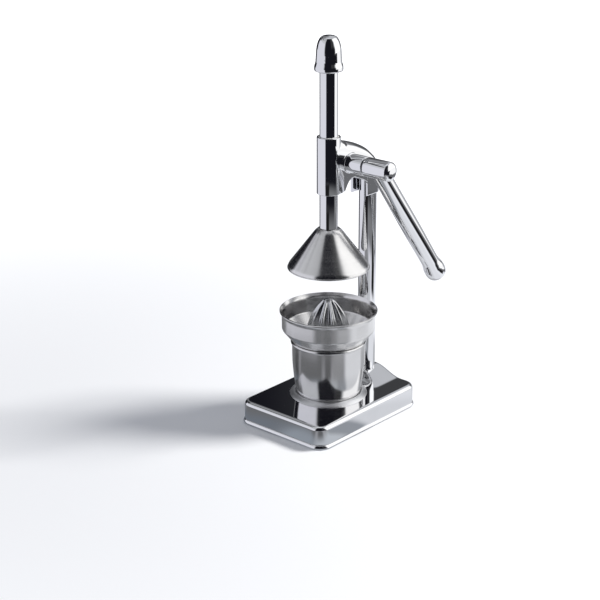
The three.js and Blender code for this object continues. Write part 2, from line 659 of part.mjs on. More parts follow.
function shaftRetainer() {
  const near = -ARM_HALF_WIDTH - 3 * SEAT_GAP;
  const inner = SHAFT_RADIUS - RETAINER_GROOVE_DEPTH + SEAT_GAP;
  return alongX(pipeZ(inner, RETAINER_RADIUS, near - RETAINER_WIDTH, near));
}

function leverHub() {
  const end = hubStartX + HUB_LENGTH;
  const domeStart = end - HUB_DOME;
  const dome = hubDomeShares.map(([out, along]) => [HUB_RADIUS * out, domeStart + HUB_DOME * along]);
  const outline = [[0, hubStartX], [HUB_RADIUS - BOSS_EDGE, hubStartX], [HUB_RADIUS, hubStartX + BOSS_EDGE],
    [HUB_RADIUS, domeStart], ...dome, [0, end]];
  const bore = cylinderZ(SHAFT_RADIUS + SEAT_GAP, hubStartX - CUT_OVERRUN, hubStartX + HUB_BORE_DEPTH);
  const spigotHole = cylinderZ(LEVER_SPIGOT_RADIUS + SEAT_GAP, -HUB_RADIUS - CUT_OVERRUN, 0);
  const grubHole = cylinderZ(GRUB_RADIUS + SEAT_GAP, 0, HUB_RADIUS + CUT_OVERRUN, SMALL_TURN);
  return alongX(turned(outline).subtract(bore))
    .subtract(spigotHole.translate([leverX, 0, 0]))
    .subtract(grubHole.translate([hubStartX + GRUB_OFFSET, 0, 0]));
}

function hubGrubScrew() {
  const screw = cylinderZ(GRUB_RADIUS, SHAFT_RADIUS + SEAT_GAP, HUB_RADIUS - BOSS_EDGE, SMALL_TURN);
  return screw.translate([hubStartX + GRUB_OFFSET, 0, 0]);
}

// Lever bar, hanging down from the hub's axis, saddled on the hub and spigoted into it
function leverArm() {
  const bar = turned([[0, -LEVER_LENGTH * leverOutlineShares[0][1]],
    ...leverOutlineShares.map(([out, along]) => [LEVER_END_RADIUS * out, -LEVER_LENGTH * along])], PLAIN_TURN);
  const saddleReach = LEVER_END_RADIUS + CUT_OVERRUN;
  const saddle = alongX(cylinderZ(HUB_RADIUS + SEAT_GAP, -saddleReach, saddleReach));
  const spigot = cylinderZ(LEVER_SPIGOT_RADIUS, -LEVER_LENGTH * LEVER_SPIGOT_END_SHARE, -SEAT_GAP);
  return bar.subtract(saddle).add(spigot).translate([leverX, 0, 0]);
}

// Plunger: the rod with the rack let into its back, the bell below it and the cap above it
function plungerRod() {
  const top = capBottomZ + CAP_HEIGHT - CAP_TOP_WALL - SEAT_GAP;
  const halfSlot = RACK_WIDTH / 2 + SEAT_GAP;
  const slotFloor = rackBackY - SEAT_GAP;
  const slot = box([-halfSlot, slotFloor, slotBottomZ], [halfSlot, ROD_RADIUS + CUT_OVERRUN, slotTopZ]);
  const screwTop = rodBottomZ + BELL_SCREW_REACH + SEAT_GAP;
  const screwHole = cylinderZ(BELL_SCREW_RADIUS + SEAT_GAP, rodBottomZ - CUT_OVERRUN, screwTop);
  const rivetHole = alongY(cylinderZ(RIVET_RADIUS + SEAT_GAP, slotFloor - RIVET_DEPTH, ROD_RADIUS, SMALL_TURN));
  const rivetHoles = rivetHeights().map((z) => rivetHole.translate([0, 0, z]));
  return cylinderZ(ROD_RADIUS, rodBottomZ, top, FINE_TURN).subtract(joined([slot, screwHole, ...rivetHoles]));
}

function rivetHeights() {
  return [slotBottomZ + RIVET_END_DISTANCE, slotTopZ - RIVET_END_DISTANCE];
}

function rackStrip() {
  const low = slotBottomZ + SEAT_GAP;
  const high = slotTopZ - SEAT_GAP;
  const tipY = PITCH_LINE_Y + TOOTH_MODULE * rackToothShares.tip;
  const pitchHalf = (toothPitch / 2 - FLANK_GAP) / 2;
  const slope = Math.tan(PRESSURE_ANGLE);
  const tipHalf = pitchHalf - slope * (tipY - PITCH_LINE_Y);
  const rootHalf = pitchHalf + slope * (PITCH_LINE_Y - rackRootY);
  const firstTooth = Math.ceil((low + rootHalf - hubZ) / toothPitch - RACK_PHASE_SHARE);
  const lastTooth = Math.floor((high - rootHalf - hubZ) / toothPitch - RACK_PHASE_SHARE);
  const teeth = [];
  for (let tooth = firstTooth; tooth <= lastTooth; tooth += 1) {
    const middle = hubZ + (tooth + RACK_PHASE_SHARE) * toothPitch;
    teeth.push([rackRootY, middle - rootHalf], [tipY, middle - tipHalf], [tipY, middle + tipHalf],
      [rackRootY, middle + rootHalf]);
  }
  const outline = [[rackBackY, high], [rackBackY, low], [rackRootY, low], ...teeth, [rackRootY, high]];
  const rivetHole = alongY(cylinderZ(RIVET_RADIUS + SEAT_GAP, 0, ROD_RADIUS, SMALL_TURN));
  const holes = joined(rivetHeights().map((z) => rivetHole.translate([0, 0, z])));
  return prismX(outline, -RACK_WIDTH / 2, RACK_WIDTH / 2).subtract(holes);
}

function rackRivets() {
  const rivet = alongY(cylinderZ(RIVET_RADIUS, rackBackY - RIVET_DEPTH, rackRootY, SMALL_TURN));
  return rivetHeights().map((z) => rivet.translate([0, 0, z]));
}

function plungerCap() {
  const outline = capOutlineShares.map(([out, up]) => [CAP_FLANGE_RADIUS * out, capBottomZ + CAP_HEIGHT * up]);
  const boreTop = capBottomZ + CAP_HEIGHT - CAP_TOP_WALL;
  const bore = cylinderZ(ROD_RADIUS + SEAT_GAP, capBottomZ - CUT_OVERRUN, boreTop, FINE_TURN);
  const screwReach = CAP_FLANGE_RADIUS + CUT_OVERRUN;
  const screwHole = alongY(cylinderZ(CAP_SCREW_RADIUS + SEAT_GAP, 0, screwReach, SMALL_TURN));
  return turned([[0, capBottomZ], ...outline])
    .subtract(bore)
    .subtract(screwHole.translate([0, 0, capScrewZ()]));
}

function capScrewZ() {
  return capBottomZ + CAP_SCREW_RADIUS + SEAT_GAP + BOSS_EDGE;
}

function capScrew() {
  const start = ROD_RADIUS + SEAT_GAP;
  const screw = alongY(cylinderZ(CAP_SCREW_RADIUS, start, CAP_FLANGE_RADIUS - BOSS_EDGE, SMALL_TURN));
  return screw.translate([0, 0, capScrewZ()]);
}

function pressBell() {
  const outer = bellOutlineShares.map(([out, up]) => [BELL_RIM_RADIUS * out, bellRimZ + BELL_HEIGHT * up]);
  return turned(sheetOutline([...outer, [BELL_SCREW_RADIUS + SEAT_GAP, bellTopZ]], BELL_SHEET));
}

function bellWasher() {
  const top = bellTopZ - BELL_SHEET - SEAT_GAP;
  return pipeZ(BELL_SCREW_RADIUS + SEAT_GAP, BELL_WASHER_RADIUS, top - BELL_WASHER_THICKNESS, top);
}

function bellScrew() {
  const seatZ = bellTopZ - BELL_SHEET - BELL_WASHER_THICKNESS - 2 * SEAT_GAP;
  const reach = rodBottomZ + BELL_SCREW_REACH - seatZ;
  const [radius, headRadius, headHeight] = [BELL_SCREW_RADIUS, BELL_SCREW_HEAD_RADIUS, BELL_SCREW_HEAD_HEIGHT];
  return upwardScrew(radius, headRadius, headHeight, seatZ, reach, PLAIN_TURN);
}

// Cup, about its own axis, with its foot at height zero
function juiceCup() {
  const beadZ = CUP_HEIGHT - CUP_BEAD_RADIUS;
  const side = cupSideShares.map(([flare, up]) => [CUP_BASE_RADIUS + CUP_FLARE * flare, beadZ * up]);
  const shell = turned(sheetOutline([[0, 0], ...side], CUP_WALL));
  return shell.add(bead(CUP_BASE_RADIUS + CUP_FLARE - CUP_WALL / 2, beadZ, CUP_BEAD_RADIUS));
}

// Strainer, with its ledge at height zero and its spigot inside the cup's mouth
function spigotRadius() {
  return CUP_BASE_RADIUS + CUP_FLARE - CUP_WALL / 2 - CUP_BEAD_RADIUS - STRAINER_SPIGOT_FIT;
}

function strainerBowl() {
  const wall = strainerWallShares.map(([out, up]) => [STRAINER_RIM_RADIUS * out, STRAINER_HEIGHT * up]);
  const radius = spigotRadius();
  const floor = [[SCREW_RADIUS + SEAT_GAP, -STRAINER_SPIGOT_DEPTH], [radius, -STRAINER_SPIGOT_DEPTH]];
  const lipZ = STRAINER_HEIGHT - STRAINER_LIP_RADIUS;
  const lip = bead(STRAINER_RIM_RADIUS - STRAINER_LIP_RADIUS, lipZ, STRAINER_LIP_RADIUS);
  const holeCircle = (REAMER_RADIUS + radius - STRAINER_SHEET) / 2;
  const hole = cylinderZ(JUICE_HOLE_RADIUS, -STRAINER_SPIGOT_DEPTH - CUT_OVERRUN, 0, SMALL_TURN / 2);
  const holes = [];
  for (let i = 0; i < JUICE_HOLE_COUNT; i += 1) {
    const angle = 2 * Math.PI * i / JUICE_HOLE_COUNT;
    holes.push(hole.translate([holeCircle * Math.cos(angle), holeCircle * Math.sin(angle), 0]));
  }
  const shell = turned(sheetOutline([...floor, [radius, 0], ...wall], STRAINER_SHEET));
  return shell.add(lip).subtract(joined(holes));
}

// Reamer, with ribs that swell from its skirt and fade at its tip
function reamerCone() {
  const floor = STRAINER_SHEET + SEAT_GAP - STRAINER_SPIGOT_DEPTH;
  const rings = reamerShapeShares.map(([out, up, swell]) => {
    const ring = [];
    const z = floor + REAMER_HEIGHT * up;
    for (let i = 0; i < REAMER_RIB_COUNT * RIB_STEPS; i += 1) {
      const angle = 2 * Math.PI * i / (REAMER_RIB_COUNT * RIB_STEPS);
      const radius = REAMER_RADIUS * out * (1 - swell + swell * Math.cos(REAMER_RIB_COUNT * angle));
      ring.push(new THREE.Vector3(radius * Math.cos(angle), radius * Math.sin(angle), z));
    }
    return ring;
  });
  const [wide, narrow] = reamerHollowShares;
  const [under, roof] = [floor - CUT_OVERRUN, floor + REAMER_HOLLOW_HEIGHT];
  const hollow = turned([[REAMER_BOSS_RADIUS, under], [REAMER_RADIUS * wide, under], [REAMER_RADIUS * wide, floor],
    [REAMER_RADIUS * narrow, roof], [REAMER_BOSS_RADIUS, roof]]);
  const screwTop = floor + REAMER_SCREW_REACH + SEAT_GAP;
  const screwHole = cylinderZ(SCREW_RADIUS + SEAT_GAP, floor - CUT_OVERRUN, screwTop, SMALL_TURN);
  return lofted(rings).subtract(hollow).subtract(screwHole);
}

function reamerScrew() {
  const seatZ = -STRAINER_SPIGOT_DEPTH - SEAT_GAP;
  const reach = STRAINER_SHEET + 2 * SEAT_GAP + REAMER_SCREW_REACH;
  return upwardScrew(SCREW_RADIUS, SCREW_HEAD_RADIUS, SCREW_HEAD_HEIGHT, seatZ, reach);
}

// Materials
function finish(color, roughness, metalness) {
  return () => new THREE.MeshStandardMaterial({ color, roughness, metalness });
}

const chrome = finish(0xd4d7dc, 0.08, 1);
const satinSteel = finish(0xb9b8b5, 0.34, 1);
const polishedSteel = finish(0xc2c2c0, 0.22, 1);
const plainSteel = finish(0x8f9296, 0.45, 1);
const hardSteel = finish(0x6d7074, 0.4, 1);
const castAlloy = finish(0xbfc1c4, 0.4, 1);
const whiteNylon = finish(0xe8e6df, 0.5, 0);
const darkNylon = finish(0x26272a, 0.5, 0);
const blackRubber = finish(0x1c1c1d, 0.85, 0);

function piece(name, solid, material) {
  const mesh = new THREE.Mesh(geometryOf(solid), material());
  mesh.name = name;
  return mesh;
}

// One piece for each copy of a fastener
function pieces(name, solids, material) {
  return solids.map((solid, i) => piece(`${name}_${i + 1}`, solid, material));
}

function groupOf(meshes, x = 0, y = 0, z = 0) {
  const group = new THREE.Group();
  group.add(...meshes);
  group.position.set(x, y, z);
  return group;
}

const base = groupOf([
  piece('base_pan', basePan(), chrome),
  piece('bottom_plate', bottomPlate(), plainSteel),
  piece('non_slip_mat', nonSlipMat(), blackRubber),
  ...pieces('plate_screw', plateScrews(), plainSteel),
]);

const column = groupOf([
  piece('column_tube', columnTube(), chrome),
  piece('column_plug', columnPlug(), plainSteel),
  piece('column_washer', columnWasher(), plainSteel),
  piece('column_bolt', columnBolt(), plainSteel),
], 0, columnY);

const head = groupOf([
  piece('head_casting', headCasting(), chrome),
  ...pieces('head_set_screw', headSetScrews(), hardSteel),
  piece('lower_guide_bush', guideBush(sleeveBottomZ + SEAT_GAP), whiteNylon),
  piece('upper_guide_bush', guideBush(sleeveTopZ - SEAT_GAP - BUSH_LENGTH), whiteNylon),
]);

const bearings = groupOf([
  piece('far_shaft_bush', shaftBush(-ARM_HALF_WIDTH + SEAT_GAP, -chamberHalfWidth - SEAT_GAP), whiteNylon),
  piece('near_shaft_bush', shaftBush(chamberHalfWidth + SEAT_GAP, bossEndX - SEAT_GAP), whiteNylon),
  piece('thrust_washer', thrustWasher(), darkNylon),
], 0, hubY, hubZ);

const shaft = groupOf([
  piece('pinion_gear', pinionGear(), hardSteel),
  piece('pinion_shaft', pinionShaft(), hardSteel),
  piece('pinion_key', pinionKey(), hardSteel),
  piece('shaft_retainer', shaftRetainer(), hardSteel),
], 0, hubY, hubZ);

const lever = groupOf([
  piece('lever_hub', leverHub(), chrome),
  piece('hub_grub_screw', hubGrubScrew(), hardSteel),
  piece('lever_arm', leverArm(), chrome),
], 0, hubY, hubZ);
lever.rotation.x = LEVER_REST_ANGLE;

const plunger = groupOf([
  piece('plunger_rod', plungerRod(), chrome),
  piece('rack_strip', rackStrip(), hardSteel),
  ...pieces('rack_rivet', rackRivets(), hardSteel),
  piece('plunger_cap', plungerCap(), chrome),
  piece('cap_screw', capScrew(), hardSteel),
  piece('press_bell', pressBell(), satinSteel),
  piece('bell_washer', bellWasher(), plainSteel),
  piece('bell_screw', bellScrew(), plainSteel),
]);

const cup = groupOf([piece('juice_cup', juiceCup(), polishedSteel)], 0, 0, cupZ);

const strainer = groupOf([
  piece('strainer_bowl', strainerBowl(), satinSteel),
  piece('reamer_cone', reamerCone(), castAlloy),
  piece('reamer_screw', reamerScrew(), plainSteel),
], 0, 0, strainerZ);

const press = new THREE.Group();
press.add(base, column, head, bearings, shaft, lever, plunger, cup, strainer);

export default press;
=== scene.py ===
import math

import bmesh
import bpy
from bpy.props import FloatProperty, FloatVectorProperty, IntProperty, PointerProperty
from mathutils import Matrix, Vector


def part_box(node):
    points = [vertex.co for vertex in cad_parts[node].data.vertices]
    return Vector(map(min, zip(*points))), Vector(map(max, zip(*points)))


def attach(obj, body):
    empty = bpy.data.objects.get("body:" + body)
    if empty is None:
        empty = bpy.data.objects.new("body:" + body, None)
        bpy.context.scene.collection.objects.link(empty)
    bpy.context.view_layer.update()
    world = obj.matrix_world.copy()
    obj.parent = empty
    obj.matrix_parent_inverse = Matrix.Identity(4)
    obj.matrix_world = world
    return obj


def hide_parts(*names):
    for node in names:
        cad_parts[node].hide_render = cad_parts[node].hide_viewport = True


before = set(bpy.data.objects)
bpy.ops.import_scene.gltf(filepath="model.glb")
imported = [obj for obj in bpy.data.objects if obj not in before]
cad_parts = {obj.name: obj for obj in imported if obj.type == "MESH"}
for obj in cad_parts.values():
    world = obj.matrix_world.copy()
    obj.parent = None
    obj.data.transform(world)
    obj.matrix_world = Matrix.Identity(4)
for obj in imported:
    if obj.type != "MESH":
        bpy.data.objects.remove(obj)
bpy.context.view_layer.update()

bl_info = {
    "name": "Lever Citrus Press",
    "version": (1, 0, 0),
    "blender": (4, 5, 0),
    "location": "View3D > Sidebar > Citrus Press",
    "description": "Builds the finished pieces of a hand-operated citrus press around its packed frame",
    "category": "Add Mesh",
}

TURN = 128
FINE_TURN = 160
REAMER_TURN = 200
SHARP = 38
NOTHING = 1e-7
QUARTER = math.pi / 2
# Clearance of a fit, how far a cutter runs past, how deep a root is sunk, and the least step between faces
GAP = 0.0003
OVERRUN = 0.002
SUNK = 0.004
SLIVER = 0.0002

# The materials and node groups that the operators share
shared = {}


def length(label, description, default):
    return FloatProperty(name=label, description=description, default=default, min=0.0, precision=4,
                         unit="LENGTH")


def number(label, description, default):
    return IntProperty(name=label, description=description, default=default, min=3)


def turn(label, description, degrees):
    return FloatProperty(name=label, description=description, default=math.radians(degrees), subtype="ANGLE",
                         unit="ROTATION")


def colour(label, description, default):
    return FloatVectorProperty(name=label, description=description, default=default, size=3, min=0.0, max=1.0,
                               subtype="COLOR")


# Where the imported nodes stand
def low(node):
    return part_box(node)[0]


def high(node):
    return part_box(node)[1]


def middle(node):
    return (low(node) + high(node)) / 2


# Outlines as shares of a piece's width and height
CUP_SIDE = [(0.16, 0.0), (0.27, 0.03), (0.45, 0.131), (0.72, 0.34), (0.95, 0.62), (1.0, 1.0)]
STRAINER_WALL = [(0.757, 0.0), (0.945, 0.37), (0.954, 0.405), (0.957, 0.885), (1.0, 1.0)]
BELL_SIDE = [(0.99, 0.0), (0.99, 0.026), (0.971, 0.09), (0.922, 0.155), (0.331, 0.93), (0.25, 1.0)]
CAP_FLANGE = [(0.66, 0.0), (1.0, 0.0), (1.0, 0.14), (0.91, 0.25), (0.9, 0.33)]
CAP_DOME = [(0.895, 0.36), (0.875, 0.5), (0.845, 0.64), (0.785, 0.76), (0.69, 0.865), (0.585, 0.932)]
CAP_TOP = [(0.56, 0.942), (0.42, 0.974), (0.22, 0.994), (0.0, 1.0)]
LEVER_SIDE = [(0.775, 0.0), (0.8, 0.2), (0.85, 0.56), (0.83, 0.845), (0.89, 0.88), (0.97, 0.91), (1.0, 0.944),
              (0.92, 0.973), (0.7, 0.991), (0.3, 1.0), (0.0, 1.0)]
HUB_DOME = [(1.0, 0.0), (0.95, 0.4), (0.8, 0.72), (0.52, 0.93), (0.22, 1.0), (0.0, 1.0)]
LIP = [(0.0, 1.0), (0.22, 0.92), (0.53, 0.71), (0.78, 0.45), (0.94, 0.23), (1.0, 0.1), (0.81, 0.0)]
LIP_LEAD = (0.0, 1.35)
SEAT = [(0.0, 0.0), (0.03, 0.5), (0.12, 0.88), (0.26, 1.0), (0.44, 0.88), (0.66, 0.6), (0.86, 0.28),
        (1.0, 0.0)]
ARCH = [(0.26, 0.09), (0.31, 0.42), (0.37, 0.72), (0.44, 0.93), (0.51, 1.0), (0.6, 0.97), (0.77, 0.7),
        (0.91, 0.45), (0.98, 0.24), (1.0, 0.0)]
CROWN = [(0.0, 0.24), (0.2, 0.286), (0.33, 0.36), (0.56, 0.565), (0.81, 0.904), (0.94, 1.186), (1.0, 1.33)]
CROWN_END = [(0.0, 1.33), (0.05, 1.42), (0.23, 1.6), (0.41, 1.81), (0.59, 2.06), (0.75, 2.3), (0.88, 2.52),
             (1.0, 2.8)]
# The third share is how deep the flutes are there
REAMER_SIDE = [(1.0, 0.0, 0.0), (1.0, 0.07, 0.0), (0.9, 0.09, 0.07), (0.84, 0.3, 0.11), (0.7, 0.55, 0.13),
               (0.5, 0.76, 0.14), (0.28, 0.92, 0.12), (0.1, 1.0, 0.0)]

# Where the arm is cut across: metres from the plunger's axis, and shares of the skirt's depth
SLEEVE_STATIONS = (0.0, 0.004, 0.008)
SKIRT_STATIONS = (0.1, 0.3, 0.5, 0.7, 0.9)

PLATE_SCREW = dict(head_radius=0.0036, head_height=0.002, shank_radius=0.002, recess_radius=0.0017)
SET_SCREW = dict(head_radius=0.0025, head_height=0.0012, shank_radius=0.0024, shank_length=0.0009,
                 recess_radius=0.0013)
HUB_SCREW = dict(head_radius=0.002, head_height=0.0012, shank_radius=0.0019, shank_length=0.003,
                 recess_radius=0.001)
CAP_SCREW = dict(head_radius=0.0019, head_height=0.0012, shank_radius=0.0018, shank_length=0.003,
                 recess_radius=0.001)

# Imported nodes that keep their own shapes, by finish
DRESSED = {
    "plain": ("bottom_plate", "column_plug", "column_washer", "column_bolt", "bell_washer", "bell_screw",
              "reamer_screw"),
    "rubber": ("non_slip_mat",),
    "hard": ("pinion_gear", "pinion_shaft", "pinion_key", "shaft_retainer", "rack_strip", "rack_rivet_1",
             "rack_rivet_2"),
    "white_nylon": ("lower_guide_bush", "upper_guide_bush", "far_shaft_bush", "near_shaft_bush"),
    "dark_nylon": ("thrust_washer",),
}


class BaseSizes(bpy.types.PropertyGroup):
    half_width: length("Half width", "From the middle of the base to its side wall", 0.0548)
    front: length("Front", "From the cup's axis to the front wall", 0.0746)
    back: length("Back", "From the cup's axis to the back wall", 0.0782)
    top: length("Top height", "Height of the flat top above the table", 0.024)
    corner: length("Corner radius", "Radius of the four corners seen from above", 0.013)
    edge: length("Edge radius", "Rounding between the top and the walls", 0.0046)
    sheet: length("Sheet", "Thickness of the pressed sheet", 0.0015)
    lip_clearance: length("Lip clearance", "Gap between the lip and the table", 0.0013)
    lip_flare: length("Lip flare", "How far the lip stands out from the wall", 0.0016)
    lip_rise: length("Lip rise", "Height of the lip", 0.0031)
    mound_height: length("Mound height", "Rise of the mound that carries the column", 0.0095)
    mound_half_width: length("Mound half width", "Half of the mound across", 0.034)
    mound_ramp: length("Mound ramp", "Length of the mound's slope", 0.034)
    mound_blend: length("Mound blend", "Width of the blend around the cup's seat", 0.014)
    seat_inner: length("Seat inner radius", "Inner radius of the ring round the cup", 0.0327)
    seat_outer: length("Seat outer radius", "Outer radius of the ring round the cup", 0.0396)
    seat_height: length("Seat height", "Height of the ring round the cup", 0.0034)
    column_wall: length("Column wall", "Thickness of the column's wall", 0.0015)


class HeadSizes(bpy.types.PropertyGroup):
    sleeve_radius: length("Sleeve radius", "Radius of the sleeve round the plunger", 0.0118)
    sleeve_edge: length("Sleeve edge", "Rounding at the sleeve's ends", 0.0009)
    arm_half_width: length("Arm half width", "Half of the arm across", 0.011)
    arm_edge: length("Arm edge radius", "Rounding along the arm's top", 0.009)
    arm_drop: length("Arm drop", "Unit of the arm's fall from the sleeve to the column", 0.022)
    arch_rise: length("Arch rise", "Rise of the arch below the arm", 0.012)
    skirt_depth: length("Skirt depth", "How far the skirt reaches in front of the column's axis", 0.0141)
    root_fillet: length("Root fillet", "Blend of the boss and of the sleeve into the arm", 0.0022)
    boss_edge: length("Boss edge", "Chamfer of the boss and hub where they meet", 0.0008)
    sleeve_wall: length("Sleeve wall", "Thickness of the sleeve's wall", 0.0014)
    arm_foot: length("Arm foot", "Rounding along the arm's lower edges", 0.0012)
    gear_room: length("Gear room", "Room between the pinion and its chamber", 0.0011)
    gear_side: length("Gear side room", "Room at the sides of the pinion", 0.0017)
    well_start: length("Well start", "From the plunger's axis to the well below the chamber", 0.0138)
    mouth_depth: length("Mouth depth", "How far the mouth reaches in front of the skirt", 0.007)
    mouth_rise: length("Mouth rise", "How far the mouth reaches above the sleeve's end", 0.006)


class LeverSizes(bpy.types.PropertyGroup):
    hub_radius: length("Hub radius", "Radius of the hub and of the boss", 0.0097)
    hub_dome: length("Hub dome", "Length of the hub's domed end", 0.005)
    bar_length: length("Bar length", "From the hub's axis to the lever's end", 0.1695)
    bar_radius: length("Knob radius", "Radius of the swelling at the lever's end", 0.0111)
    bar_offset: length("Bar offset", "From the hub's inner end to the lever's axis", 0.0128)
    rest_angle: turn("Rest angle", "Lean of the lever behind the hub at rest", 36.5)


class PlungerSizes(bpy.types.PropertyGroup):
    rod_radius: length("Rod radius", "Radius of the plunger rod", 0.009)
    cap_radius: length("Cap radius", "Radius of the flange of the cap", 0.01415)
    bell_radius: length("Bell radius", "Radius of the bell at its rim", 0.0411)
    bell_sheet: length("Bell sheet", "Thickness of the bell's wall", 0.0012)
    bell_roll: length("Bell roll", "Radius of the rolled edge of the bell", 0.0007)
    bell_bore: length("Bell bore", "Radius of the hole for the bell's screw", 0.0033)
    bell_bend: length("Bell bend", "Rounding of the bell's bends", 0.0035)
    cap_edge: length("Cap edge", "Rounding of the cap's flange", 0.0022)


class CupSizes(bpy.types.PropertyGroup):
    base_radius: length("Cup foot radius", "Radius of the cup near its foot", 0.0312)
    flare: length("Cup flare", "How much wider the cup is at its mouth", 0.0057)
    wall: length("Cup wall", "Thickness of the cup's wall", 0.001)
    bead: length("Cup bead", "Radius of the rolled bead at the mouth", 0.0019)
    foot_bend: length("Foot bend", "Rounding of the cup's foot", 0.0012)
    strainer_radius: length("Strainer radius", "Radius of the strainer at its rim", 0.0493)
    strainer_bore: length("Strainer bore", "Radius of the hole for the reamer's screw", 0.0023)
    strainer_bend: length("Strainer bend", "Rounding of the strainer's bends", 0.0016)
    strainer_sheet: length("Strainer sheet", "Thickness of the strainer's wall", 0.001)
    spigot_depth: length("Spigot depth", "How far the strainer reaches into the cup", 0.0049)
    spigot_radius: length("Spigot radius", "Radius of the part inside the cup's mouth", 0.0343)
    lip: length("Strainer lip", "Radius of the strainer's rolled lip", 0.0007)
    hole_count: number("Juice holes", "Number of juice holes in the strainer", 24)
    hole_radius: length("Hole radius", "Radius of each juice hole", 0.0016)
    reamer_radius: length("Reamer radius", "Radius of the reamer at its skirt", 0.0265)
    reamer_ribs: number("Reamer ribs", "Number of ribs round the reamer", 10)


class FinishColours(bpy.types.PropertyGroup):
    chrome: colour("Chrome", "Bright chrome plating", (0.9, 0.905, 0.92))
    satin: colour("Satin steel", "Satin-turned stainless steel", (0.83, 0.825, 0.82))
    polished: colour("Polished steel", "Polished stainless steel of the cup", (0.79, 0.785, 0.785))
    plain: colour("Plain steel", "Zinc-plated steel of the fixings", (0.56, 0.57, 0.59))
    hard: colour("Hard steel", "Oiled machined steel of the gear and rack", (0.43, 0.44, 0.46))
    cast: colour("Cast alloy", "Tumbled cast alloy of the reamer", (0.75, 0.76, 0.77))
    white_nylon: colour("White nylon", "Guide and shaft bushes", (0.91, 0.9, 0.87))
    dark_nylon: colour("Dark nylon", "Thrust washer", (0.15, 0.15, 0.16))
    rubber: colour("Rubber", "Mat under the base", (0.035, 0.035, 0.037))


class StageSettings(bpy.types.PropertyGroup):
    azimuth: turn("Camera azimuth", "Camera's turn from the front towards the lever's side", 41.74)
    elevation: turn("Camera elevation", "Camera's height above the horizon", 20.8)
    roll: turn("Camera roll", "Camera's turn about its own axis", -0.3)
    distance: length("Camera distance", "From the camera to the point it looks at", 1.6508)
    lens: FloatProperty(name="Lens", description="Focal length on a 36 mm sensor", default=98.75, min=1.0,
                        unit="CAMERA")
    aim_side: FloatProperty(name="Aim to the right", description="Shift of the point looked at, to the right",
                            default=-0.0286, precision=4, unit="LENGTH")
    aim_height: length("Aim height", "Height of the point looked at", 0.12455)
    radius: length("Stage radius", "Radius of the floor and of the surround", 4.0)
    floor: colour("Floor", "Pale studio floor", (0.93, 0.935, 0.95))
    sky: colour("Fill light", "Colour of the soft light from all round", (0.86, 0.9, 1.0))
    fill: FloatProperty(name="Fill strength", description="Strength of that light", default=0.32, min=0.0)


def grey(level):
    return level, level * 1.02, level * 1.07


WINDOW, WHITE, LAVENDER = (1.2, 1.2, 1.2), (1.05, 1.05, 1.05), (0.73, 0.735, 0.8)
BLACK = (0.0085, 0.0087, 0.0125)
# What the metal sees. Each panel has the side that its bearing counts from, the bearings with their blur,
# the levels with their fade, and its tone. Levels are degrees above the horizon on the walls, and metres out
# on the floor.
ROOM_GROUND = grey(0.48)
ROOM_PANELS = [
    ("far", (-60, -4, 5), (28, 64, 6), grey(0.52)),
    ("far", (-56, -4, 5), (-5, 27, 6), grey(0.1)),
    ("near", (-124, -42, 5), (-5, 32, 5), LAVENDER),
    ("near", (-108, -43, 5), (32, 46, 4), grey(0.6)),
    ("near", (-88, -44, 6), (46, 64, 5), grey(0.45)),
    ("near", (-116, -86, 5), (43, 50, 3), grey(0.03)),
    ("near", (55, 128, 8), (-5, 60, 6), WINDOW),
    ("near", (20, 50, 7), (-5, 74, 6), grey(0.035)),
    ("near", (-38, 24, 5), (-5, 80, 8), BLACK),
    ("near", (-36, 58, 5), (-5, 15, 7), BLACK),
    ("far", (22, 58, 4), (-5, 30, 5), BLACK),
    ("far", (22, 70, 6), (30, 48, 4), grey(0.03)),
    ("far", (-4, 70, 6), (50, 66, 5), grey(0.2)),
    ("far", (0, 22, 4), (14, 48, 5), grey(0.16)),
    ("far", (0, 22, 4), (-5, 12, 4), grey(0.02)),
    ("far", (-13, 4, 5), (10, 32, 4), grey(0.05)),
    ("far", (-1, 9, 4), (10, 32, 4), BLACK),
    ("far", (-180, 180, 1), (76, 100, 6), grey(0.72)),
]
FLOOR_GROUND = LAVENDER
